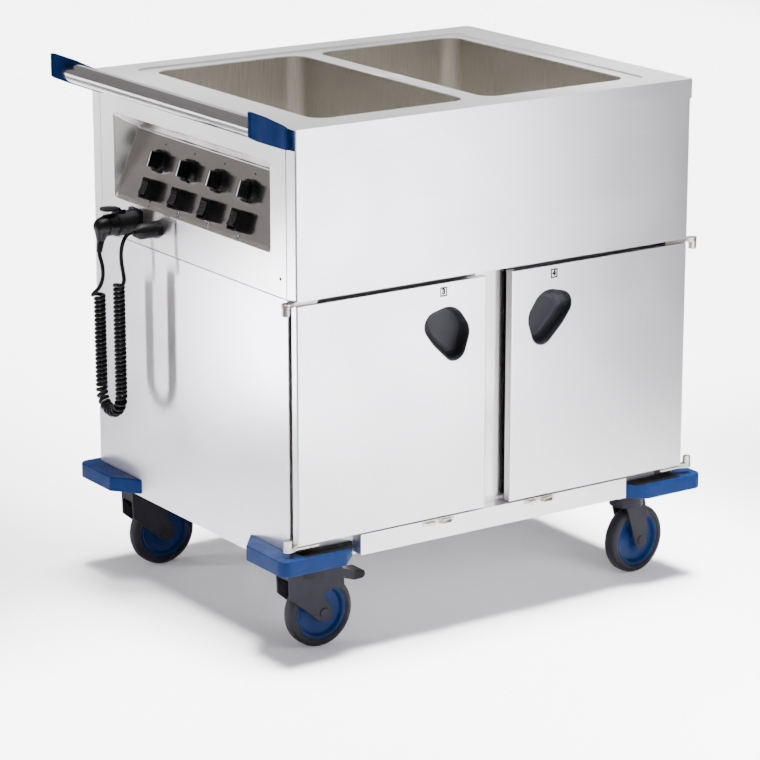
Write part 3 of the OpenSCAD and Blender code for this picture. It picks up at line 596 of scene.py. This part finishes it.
@dataclass(frozen=True)
class Softbox:
    """A rectangular softbox.

    Attributes:
        name: Its name.
        place: Where its middle stands, in metres.
        aim: The point that it faces.
        size: Width and height in metres.
        radiance: Its brightness, as the light that it gives to each square metre over pi.
        tint: Its colour as sRGB hex.
        spread: Angle of its light in degrees, 180 without a grid in front.
    """

    name: str
    place: Triple
    aim: Triple
    size: Pair
    radiance: float
    tint: str = "ffffff"
    spread: float = 180.0

    def hang(self) -> None:
        """Adds the softbox to the scene."""
        lamp = bpy.data.lights.new(self.name, "AREA")
        lamp.shape = "RECTANGLE"
        lamp.size, lamp.size_y = self.size
        lamp.energy = self.radiance * math.pi * self.size[0] * self.size[1]
        lamp.color = linear(self.tint)[:3]
        lamp.spread = math.radians(self.spread)
        holder = bpy.data.objects.new(self.name, lamp)
        bpy.context.scene.collection.objects.link(holder)
        holder.location = self.place
        direction = Vector(self.aim) - Vector(self.place)
        holder.rotation_mode = "QUATERNION"
        holder.rotation_quaternion = direction.to_track_quat("-Z", "Y")


SOFTBOXES = (
    # A narrow light beside the handle end throws the cord's shadow on the end sheet
    Softbox("key_beside_handle", (-1.1, 0.62, 0.28), (-0.38, -0.1, 0.45), (0.06, 0.3), 135.0, "f6f4ff"),
    # Two panels that the steel mirrors: the doors and the apron, then the worktop
    Softbox("front_panel", (0.25, -1.15, 0.5), (0.25, -0.33, 0.5), (0.76, 0.8), 7.5, "f4f3fc"),
    Softbox("back_panel", (1.25, 1.75, 1.55), (0.0, 0.0, 0.9), (2.0, 1.3), 0.8, "f8f6f6"),
    # Gridded lights that face straight down: one over the trolley, the rest over the floor round it
    Softbox("overhead", (-0.2, -0.7, 2.6), (-0.2, -0.7, 0.0), (2.1, 1.6), 8.0, spread=22.0),
    Softbox("overhead_behind", (2.3, 3.6, 4.5), (2.3, 3.6, 0.0), (5.5, 7.0), 7.0, spread=20.0),
    Softbox("overhead_right", (9.0, -2.5, 4.5), (9.0, -2.5, 0.0), (7.0, 9.0), 3.0, spread=20.0),
    Softbox("overhead_front", (-2.6, -7.0, 4.5), (-2.6, -7.0, 0.0), (7.0, 6.0), 1.8, spread=20.0),
    Softbox("overhead_far", (-5.2, 6.8, 4.5), (-5.2, 6.8, 0.0), (8.0, 8.0), 4.0, spread=30.0),
)


@dataclass
class Studio:
    """Camera, floor and lights.

    Attributes:
        azimuth: Camera's bearing round the trolley, in degrees.
        elevation: Camera's height above the horizon, in degrees.
        target: Point that the camera looks at, in metres in the frame.
        distance: Distance of the camera from it, in metres.
        lens: Focal length in millimetres.
        sensor: Width of the camera's sensor in millimetres.
        reach: Side of the floor and the farthest that the camera sees, in metres.
        room_colour: Colour of the light that fills the room, as sRGB hex.
        room_light: Its strength.
    """

    azimuth: float = -34.18
    elevation: float = 15.75
    target: Triple = (0.0034, 0.0, 0.3542)
    distance: float = 5.678
    lens: float = 152.3
    sensor: float = 36.0
    reach: float = 60.0
    room_colour: str = "faf2f0"
    room_light: float = 0.3

    def set_camera(self) -> None:
        """Puts the camera at the photograph's viewing angle."""
        turn, rise = math.radians(self.azimuth), math.radians(self.elevation)
        back = Vector((math.sin(turn) * math.cos(rise), -math.cos(turn) * math.cos(rise), math.sin(rise)))
        camera = bpy.data.objects.new("camera", bpy.data.cameras.new("camera"))
        bpy.context.scene.collection.objects.link(camera)
        camera.data.lens = self.lens
        camera.data.sensor_width = self.sensor
        camera.data.clip_end = self.reach
        camera.location = Vector(self.target) + back * self.distance
        camera.rotation_mode = "QUATERNION"
        camera.rotation_quaternion = (-back).to_track_quat("-Z", "Y")
        bpy.context.scene.camera = camera

    def set_floor(self) -> None:
        """Lays the floor and fills the room with pale light."""
        start_modelling()
        bpy.ops.mesh.primitive_plane_add(size=self.reach)
        floor = bpy.context.object
        floor.name = "studio_floor"
        floor.data.materials.append(FLOOR_PAINT.material())
        world = bpy.data.worlds.new("room")
        bpy.context.scene.world = world
        world.use_nodes = True
        background = world.node_tree.nodes["Background"]
        background.inputs["Color"].default_value = linear(self.room_colour)
        background.inputs["Strength"].default_value = self.room_light

    def build(self) -> None:
        """Sets up the whole studio."""
        self.set_camera()
        self.set_floor()
        for softbox in SOFTBOXES:
            softbox.hang()


# Supply cord


@dataclass
class SupplyCord:
    """The curly cord from its gland, down, round and up to the plug in its parking socket.

    Attributes:
        diameter: Diameter of the cord.
        curl_radius: Mean radius of the curls.
        curls: Number of curls.
        plane_x: X of the plane in which the curls hang.
        body_limb: Y and Z where the curls start.
        plug_limb: Y and Z where they end.
        bend_z: Height of the middle of the bend.
        end_lag: Angle by which the last curl stops short, in degrees.
        limb_pitch: Spacing of the curls in the limbs, relative to the bend.
        bend_pitch: Spacing of the curls round the bend.
        sides: Sides of the tube.
        steps: Rings of the tube in one curl.
        length: Length of the cord in metres, from gland to plug; not used.
        lead_steps: New points for each stretch of a lead.
        body_exit: Direction in which the cord leaves the curls towards the gland.
        body_straight: Length of the straight piece there.
        plug_rise: How steeply the cord leaves the curls towards the plug.
        plug_straight: Length of the straight piece there.
        body_route: Points of the lead from the gland.
        plug_route: Points of the lead to the plug.
    """

    diameter: float = 7.0
    curl_radius: float = 7.5
    curls: int = 58
    plane_x: float = -68.0
    body_limb: Pair = (122.0, 566.0)
    plug_limb: Pair = (190.0, 535.0)
    bend_z: float = 369.0
    end_lag: float = 60.0
    limb_pitch: float = 7.7
    bend_pitch: float = 10.0
    sides: int = 14
    steps: int = 20
    length: float = 3.0
    lead_steps: int = 6
    body_exit: Triple = (0.0, -7.0, 1.0)
    body_straight: float = 4.0
    plug_rise: float = 0.15
    plug_straight: float = 2.5
    body_route: tuple[Triple, ...] = (
        (-48, 103, 658), (-54, 103, 658), (-60, 103, 656), (-65, 103.5, 650), (-69, 105, 640),
        (-70.5, 107, 626), (-70.5, 107, 610), (-69.5, 104.5, 594), (-69, 102, 582),
        (-70, 101.5, 575), (-72, 102.5, 570.5), (-74.3, 106, 568))
    plug_route: tuple[Triple, ...] = (
        (-81.6, 190, 536.5), (-82.2, 187.3, 538.5), (-81, 184.5, 541.5), (-78, 181.5, 545.5),
        (-74.3, 178.8, 551), (-71, 176.5, 559.5), (-69, 175, 571), (-69, 175, 584), (-70, 177, 595),
        (-70.8, 180, 602.5), (-71, 181.5, 607.5), (-71, 181.5, 612))

    @property
    def bend_radius(self) -> float:
        """Radius of the bend."""
        return (self.plug_limb[0] - self.body_limb[0]) / 2

    @property
    def spans(self) -> Triple:
        """Lengths of the body limb, the bend and the plug limb."""
        return (self.body_limb[1] - self.bend_z, math.pi * self.bend_radius, self.plug_limb[1] - self.bend_z)

    def axis(self, along: float) -> tuple[Vector, Vector]:
        """Finds the axis of the curls.

        Args:
            along: Distance along it.

        Returns:
            The point and the direction there, as Y and Z.
        """
        first, bend, _ = self.spans
        if along < first:
            return Vector((self.body_limb[0], self.body_limb[1] - along)), Vector((0.0, -1.0))
        if along < first + bend:
            turn = math.pi * (1 + (along - first) / bend)
            middle = Vector((self.body_limb[0] + self.bend_radius, self.bend_z))
            heading = turn + math.pi / 2
            return (middle + self.bend_radius * Vector((math.cos(turn), math.sin(turn))),
                    Vector((math.cos(heading), math.sin(heading))))
        return Vector((self.plug_limb[0], self.bend_z + along - first - bend)), Vector((0.0, 1.0))

    def turns(self, along: float) -> float:
        """Counts the turns up to a distance along the axis, before they are scaled to the number of curls."""
        first, bend, _ = self.spans
        return (min(along, first) / self.limb_pitch + min(max(along - first, 0), bend) / self.bend_pitch
                + max(along - first - bend, 0) / self.limb_pitch)

    def curl_points(self) -> list[Vector]:
        """Returns the centreline of the curls, in trolley coordinates."""
        whole = sum(self.spans)
        made = self.curls - self.end_lag / 360
        count = round(made * self.steps)
        points = []
        for i in range(count + 1):
            along = whole * i / count
            place, heading = self.axis(along)
            turn = 2 * math.pi * made * self.turns(along) / self.turns(whole)
            side = Vector((-heading.y, heading.x)) * (self.curl_radius * math.sin(turn))
            x = self.plane_x - self.curl_radius * math.cos(turn)
            points.append(Vector((x, place.x + side.x, place.y + side.y)))
        return points

    @staticmethod
    def smooth(points: list[Vector], steps: int) -> list[Vector]:
        """Draws a smooth curve through given points.

        Args:
            points: The points.
            steps: New points for each stretch.

        Returns:
            The denser points, with the first and the last ones kept.
        """
        ends = [2 * points[0] - points[1], *points, 2 * points[-1] - points[-2]]
        dense = []
        for a, b, c, d in zip(ends, ends[1:], ends[2:], ends[3:]):
            for k in range(steps):
                t = k / steps
                dense.append(0.5 * (2 * b + (c - a) * t + (2 * a - 5 * b + 4 * c - d) * t**2
                                    + (3 * b - a - 3 * c + d) * t**3))
        return [*dense, points[-1]]

    def centreline(self) -> list[Vector]:
        """Returns the whole centreline of both leads and the curls, in metres in the frame."""
        curls = self.curl_points()
        lag = math.radians(self.end_lag)
        towards_body = Vector(self.body_exit).normalized()
        towards_plug = Vector((-math.sin(lag), -math.cos(lag), self.plug_rise)).normalized()
        start = curls[0] + self.diameter * towards_body
        end = curls[-1] + self.diameter * towards_plug
        body_end = [start + self.body_straight * towards_body, start, curls[0]]
        body_lead = [*map(Vector, self.body_route), *body_end]
        plug_start = [curls[-1], end, end + self.plug_straight * towards_plug]
        plug_lead = [*plug_start, *map(Vector, self.plug_route)]
        body, plug = self.smooth(body_lead, self.lead_steps), self.smooth(plug_lead, self.lead_steps)
        return [at(*p) for p in [*body[:-1], *curls, *plug[1:]]]

    def build(self) -> None:
        points = self.centreline()
        shape = bmesh.new()
        rings = []
        across = Vector((1.0, 0.0, 0.0))
        for i, point in enumerate(points):
            heading = (points[min(i + 1, len(points) - 1)] - points[max(i - 1, 0)]).normalized()
            across = (across - across.dot(heading) * heading).normalized()
            other = heading.cross(across)
            radius = self.diameter / 2 * MM
            rings.append([shape.verts.new(point + radius * (math.cos(a) * across + math.sin(a) * other))
                          for a in (2 * math.pi * k / self.sides for k in range(self.sides))])
        for ring, following in zip(rings, rings[1:]):
            for k in range(self.sides):
                m = (k + 1) % self.sides
                shape.faces.new((ring[k], ring[m], following[m], following[k]))
        shape.faces.new(list(reversed(rings[0])))
        shape.faces.new(rings[-1])
        mesh = bpy.data.meshes.new("curly_cord")
        shape.to_mesh(mesh)
        shape.free()
        piece = bpy.data.objects.new("curly_cord", mesh)
        bpy.context.scene.collection.objects.link(piece)
        start_modelling()
        piece.select_set(True)
        bpy.context.view_layer.objects.active = piece
        bpy.ops.object.shade_smooth_by_angle(angle=CORD_SMOOTH)
        hand_over(piece, "curly_cord", "cabinet", CORD_SHEATH)
        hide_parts("cord_body", "cord_curls", "cord_plug")
        run = sum((b - a).length for a, b in zip(points, points[1:]))
        LOG.info("the cord is %.3f m long", run)


# Sub-assemblies


@dataclass
class Sheetwork:
    """The worktop, its wells, the upper housing, the cupboard walls and the base.

    Attributes:
        edge: Rounding of the sheets' edges.
    """

    edge: float = 0.8

    def build(self) -> None:
        """Dresses every sheet part."""
        dress(STEEL_LENGTHWISE, ["worktop"], self.edge)
        dress(STEEL_DRAWN, ["well_1", "well_2", "liner_left", "liner_right"])
        lengthwise = ["front_apron", "rear_apron", "rear_panel", "base_frame", "housing_floor"]
        dress(STEEL_LENGTHWISE, lengthwise, self.edge)
        dress(STEEL_CROSSWISE, ["end_fascia", "side_panel_left", "side_panel_right"], self.edge)
        dress(STEEL_PANEL, ["control_fascia"], self.edge)
        dress(STEEL_POST, ["mullion"], self.edge)
        dress(CHARCOAL_ABS, ["well_heaters", "thermostats"])


@dataclass
class ControlPanel:
    """Knobs, rocker switches, their marks and figures on the slanted panel.

    Attributes:
        mouth_z: Height of the panel's lower edge.
        mouth_x: X of that edge.
        tilt: Angle of the panel from the vertical, in degrees.
        middle: Y of the middle of the four columns.
        pitch: Spacing of the columns.
        knob_up: Distance of the knobs up the panel.
        knob_height: Height of a knob off the panel.
        line_size: Length, width and thickness of the line on a knob.
        line_sink: How deep the line sits in the knob.
        dot_up: Distance of the index dots above the knobs' middles.
        dot_lift: Height of a dot's underside off the panel.
        figure_up: Distance of the switches' figures up the panel.
        figure_height: Size of their type.
        screw_y: Distance of the fascia's screws from its middle.
        screw_z: Height of the screws.
    """

    mouth_z: float = 686.0
    mouth_x: float = 2.5
    tilt: float = 19.39
    middle: float = -4.0
    pitch: float = 96.0
    knob_up: float = 84.0
    knob_height: float = 25.0
    line_size: Triple = (27.0, 2.8, 0.8)
    line_sink: float = 0.1
    dot_up: float = 30.0
    dot_lift: float = 0.02
    figure_up: float = 8.5
    figure_height: float = 12.5
    screw_y: float = 281.0
    screw_z: float = 649.0

    def spot(self, y: float, up: float, out: float) -> Vector:
        """Returns a point in metres, from its Y and its distances up the panel and off it."""
        lean = math.radians(self.tilt)
        return at(self.mouth_x + up * math.sin(lean) - out * math.cos(lean), y,
                  self.mouth_z + up * math.cos(lean) + out * math.sin(lean))

    @property
    def out(self) -> Vector:
        """The panel's outward normal."""
        lean = math.radians(self.tilt)
        return Vector((-math.cos(lean), 0.0, math.sin(lean)))

    @property
    def up(self) -> Vector:
        """The direction up the panel."""
        lean = math.radians(self.tilt)
        return Vector((math.sin(lean), 0.0, math.cos(lean)))

    def column(self, number: int) -> float:
        """Returns the Y of a column, from 1 at the back to 4 at the front."""
        return self.middle + self.pitch * (2.5 - number)

    def mark_knob(self, number: int) -> None:
        """Adds the white line on a knob's grip."""
        mark = block(self.line_size, THIN_BEVEL)
        place = self.spot(self.column(number), self.knob_up, self.knob_height - self.line_sink)
        put(mark, place, self.out, self.up)
        hand_over(mark, f"knob_line_{number}", f"knob_{number}", WHITE_PRINT)

    def mark_panel(self, number: int) -> None:
        """Adds the index dot above a knob and the figure below its switch."""
        dot = turned([(1.7, 0.0), (1.7, 0.15), (1.4, 0.25)], 24, False)
        put(dot, self.spot(self.column(number), self.knob_up + self.dot_up, self.dot_lift), self.out, self.up)
        hand_over(dot, f"index_dot_{number}", "cabinet", BLACK_PRINT)
        # A white figure on a bolder black one: how bold each is, how far off the panel, and its ink
        layers = ("outline", 1.3, 0.12, BLACK_PRINT), ("figure", 0.25, 0.25, WHITE_PRINT)
        for layer, bold, lift, ink in layers:
            figure = lettering(str(number), self.figure_height, bold)
            put(figure, self.spot(self.column(number), self.figure_up, lift), self.out, OUT_OF_FRONT)
            hand_over(figure, f"switch_{layer}_{number}", "cabinet", ink)

    def add_screw(self, number: int, y: float) -> None:
        """Adds a screw's head below the recess."""
        head = turned([(2.9, 0.0), (2.9, 0.5), (2.3, 1.1), (1.2, 1.4)], 32, False)
        put(head, at(self.mouth_x, y, self.screw_z), OUT_OF_END, UPWARDS)
        hand_over(head, f"fascia_screw_{number}", "cabinet", BLACK_SATIN)

    def build(self) -> None:
        """Dresses the controls and adds their marks and the screws."""
        dress(BLACK_GLOSS, [f"knob_{i}" for i in FOUR], 0.8)
        dress(BLACK_GLOSS, ["switch_collars"], 0.5)
        dress(BLACK_SATIN, [f"rocker_{i}" for i in FOUR], 0.3)
        for number in FOUR:
            self.mark_knob(number)
            self.mark_panel(number)
        self.add_screw(1, -self.screw_y)
        self.add_screw(2, self.screw_y)


@dataclass
class Mouldings:
    """The push bar between its blue brackets, and the bumpers of the same blue plastic."""

    def build(self) -> None:
        """Dresses the bar, the brackets and the bumpers."""
        dress(STEEL_TUBE, ["push_bar"])
        dress(BLUE_POLYAMIDE, ["bracket_front", "bracket_rear"], 1.6)
        dress(BLUE_POLYAMIDE, [f"bumper_{i}" for i in FOUR], 2.0)


@dataclass
class Doors:
    """Both doors with their seals, grips, hinges, catches and number signs, and black sheets of painted shade
    in the gaps above and below them.

    Attributes:
        sign_x: Middle of the left door's sign.
        sign_z: Height of the signs' middle.
        sign_size: Width and height of a sign's frame.
        line: Width of its line.
        figure_height: Size of a sign's type.
        figure_bold: How far the type's outline is pushed out.
        figure_lift: Distance of the figure's middle from the door.
        frame_lift: Distance of the frame's back from it.
        strip: Lowest and highest X and Z of the black strip of painted shade above the left door.
        strip_y: Y of the strip's back.
        rubber: Thickness of the strip and of the pad, the black sheets of painted shade.
        pad: Lowest and highest X and Y of the black pad of painted shade on the left front bumper.
        pad_z: Top of the bumper.
        pad_sink: How deep the pad sits in it.
    """

    sign_x: float = 291.0
    sign_z: float = 597.0
    sign_size: Pair = (14.0, 16.0)
    line: float = 2.3
    figure_height: float = 13.0
    figure_bold: float = 0.9
    figure_lift: float = 0.12
    frame_lift: float = 0.02
    strip: tuple[float, float, float, float] = (22.0, 356.0, 611.9, 619.4)
    strip_y: float = -302.0
    rubber: float = 0.8
    pad: tuple[float, float, float, float] = (12.0, 112.0, -336.0, -304.6)
    pad_z: float = 190.0
    pad_sink: float = 0.1

    def add_rubber(self, side: str) -> None:
        """Adds the black strip above the left or right door and the black pad on the bumper below it, as
        painted shade in the deep gaps there.
        """
        x0, x1, z0, z1 = self.strip
        px0, px1, py0, py1 = self.pad
        middles = [(x0 + x1) / 2, (px0 + px1) / 2]
        if side == "right":
            middles = [TOP_LENGTH - x for x in middles]
        # The strip and the pad are black sheets of painted shade for the deep gaps at the door's top and
        # bottom
        strip = block((x1 - x0, self.rubber, z1 - z0), THIN_BEVEL)
        put(strip, at(middles[0], self.strip_y - self.rubber / 2, (z0 + z1) / 2), UPWARDS, ALONG)
        hand_over(strip, f"painted_shade_strip_{side}", "cabinet", SEAL_RUBBER)
        pad = block((px1 - px0, py1 - py0, self.rubber), THIN_BEVEL)
        pad_z = self.pad_z + self.rubber / 2 - self.pad_sink
        put(pad, at(middles[1], (py0 + py1) / 2, pad_z), UPWARDS, ALONG)
        hand_over(pad, f"painted_shade_pad_{side}", "cabinet", SEAL_RUBBER)

    def sign(self, figure: str, x: float, body: str) -> None:
        """Adds a framed figure to a door.

        Args:
            figure: The figure.
            x: Middle of the sign.
            body: The door's body.
        """
        text = lettering(figure, self.figure_height, self.figure_bold)
        put(text, at(x, FRONT_FACE - self.figure_lift, self.sign_z), OUT_OF_FRONT, ALONG)
        hand_over(text, f"door_figure_{figure}", body, BLACK_PRINT)
        start_modelling()
        bpy.ops.mesh.primitive_plane_add(size=1)
        border = bpy.context.object
        border.scale = (self.sign_size[0] * MM, self.sign_size[1] * MM, 1)
        bpy.ops.object.transform_apply(location=False, rotation=False, scale=True)
        bpy.ops.object.mode_set(mode="EDIT")
        bpy.ops.mesh.select_all(action="SELECT")
        bpy.ops.mesh.inset(thickness=self.line * MM)
        bpy.ops.mesh.delete(type="FACE")
        bpy.ops.mesh.select_all(action="SELECT")
        bpy.ops.mesh.extrude_region_move(TRANSFORM_OT_translate={"value": (0, 0, INK * MM)})
        bpy.ops.mesh.select_all(action="SELECT")
        bpy.ops.mesh.normals_make_consistent(inside=False)
        bpy.ops.object.mode_set(mode="OBJECT")
        put(border, at(x, FRONT_FACE - self.frame_lift, self.sign_z), OUT_OF_FRONT, ALONG)
        hand_over(border, f"door_sign_{figure}", body, BLACK_PRINT)

    def build(self) -> None:
        """Dresses the doors and adds their signs and the black strips and pads of painted shade round them.
        """
        dress(STEEL_UPRIGHT, ["door_left", "door_right"], 1.0)
        dress(SEAL_RUBBER, ["seal_left", "seal_right"])
        dress(CHARCOAL_ABS, ["grip_left", "grip_right"])
        dress(STEEL_STAMPED, ["hinge_brackets", "hinge_arms_left", "hinge_arms_right", "door_catches"], 0.4)
        for side in ("left", "right"):
            self.add_rubber(side)
        self.sign("3", self.sign_x, "door_left")
        self.sign("4", TOP_LENGTH - self.sign_x, "door_right")


@dataclass
class Castors:
    """Forks, brake pedals, treads and discs.

    Attributes:
        radius: Radius of a wheel.
        width: Width of a wheel.
        tread: Thickness of the tread.
        shoulder: Rounding of the tread's edges.
        crown: Half the width of its flat crown.
        lip: How far its inner edge stays inside the wheel's width.
        web: Half the thickness of the disc between hub and rim.
        sides: Number of sides round the wheel.
        trail: Distance of the axle behind the swivel.
        inset_near: Distance of the handle-end swivels from the worktop's end.
        inset_far: Distance of the far swivels from the other end.
        inset_side: Distance of the swivels from the worktop's long sides.
        turn: Angle at which the third castor stands, in degrees.
    """

    radius: float = 62.5
    width: float = 28.0
    tread: float = 14.0
    shoulder: float = 10.0
    crown: float = 1.0
    lip: float = 3.0
    web: float = 3.5
    sides: int = 96
    trail: float = 20.0
    inset_near: float = 65.0
    inset_far: float = 70.0
    inset_side: float = 72.0
    turn: float = 6.0

    def axle(self, number: int) -> tuple[Vector, Vector]:
        """Returns a wheel's centre, in metres, and the direction of its axle, towards the back."""
        turn = math.radians(self.turn if number == 3 else 0.0)
        x = TOP_LENGTH - self.inset_far if number > 2 else self.inset_near
        y = (HALF_WIDTH - self.inset_side) * (1 if number % 2 == 0 else -1)
        centre = at(x + self.trail * math.cos(turn), y + self.trail * math.sin(turn), self.radius)
        return centre, Vector((-math.sin(turn), math.cos(turn), 0.0))

    def add_wheel(self, number: int) -> None:
        """Adds a tread and a disc in place of a plain wheel."""
        centre, axle = self.axle(number)
        half, rim, web = self.width / 2, self.radius - self.tread, self.web
        angles = [math.radians(d) for d in (90, 80, 65, 50, 35, 20)]
        rounded = [(self.radius - self.shoulder + self.shoulder * math.cos(a),
                    half - self.shoulder + self.shoulder * math.sin(a)) for a in angles]
        outer = [(rim, half - self.lip), *rounded, (self.radius, self.crown)]
        profile = [*outer, *((r, -z) for r, z in reversed(outer)), outer[0]]
        tread = turned(profile, self.sides, True)
        put(tread, centre, axle, UPWARDS)
        hand_over(tread, f"tread_{number}", f"wheel_{number}", TREAD_RUBBER)
        # Radius and height of the points on one side of the disc, from its bore to its rim
        side = [(6.1, half + 2.0), (11.5, half + 2.0), (13.0, half + 0.5), (14.0, half - 2.0),
                (15.5, web + 1.5), (19.0, web), (rim - 11.0, web), (rim - 8.5, web + 1.0),
                (rim - 6.0, half - 5.0), (rim - 4.5, half - 3.5), (rim - 1.0, half - 3.2),
                (rim - 0.05, half - 3.8)]
        disc = turned([*side, *((r, -z) for r, z in reversed(side)), side[0]], self.sides, True)
        put(disc, centre, axle, UPWARDS)
        hand_over(disc, f"disc_{number}", f"wheel_{number}", BLUE_DISC)
        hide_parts(f"castor_wheel_{number}")

    def build(self) -> None:
        """Dresses the forks and pedals and adds the wheels."""
        dress(GREY_POLYAMIDE, [f"castor_fork_{i}" for i in FOUR], 1.4)
        dress(LEVER_POLYAMIDE, ["brake_pedal_1", "brake_pedal_2"], 1.4)
        for number in FOUR:
            self.add_wheel(number)


@dataclass
class SocketFittings:
    """The parking socket with its lid, the plug and the cord gland."""

    def build(self) -> None:
        """Dresses the fittings."""
        dress(BLACK_SATIN, ["parking_socket", "socket_lid", "cord_gland"], 0.6)
        dress(BLACK_SATIN, ["plug"])


def main() -> None:
    """Builds the studio and every sub-assembly."""
    logging.basicConfig(level=logging.INFO, format="%(name)s: %(message)s")
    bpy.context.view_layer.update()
    Studio().build()
    SupplyCord().build()
    for assembly in (Sheetwork(), ControlPanel(), Mouldings(), Doors(), Castors(), SocketFittings()):
        assembly.build()
    start_modelling()
    bpy.context.view_layer.update()


if __name__ == "__main__":
    main()
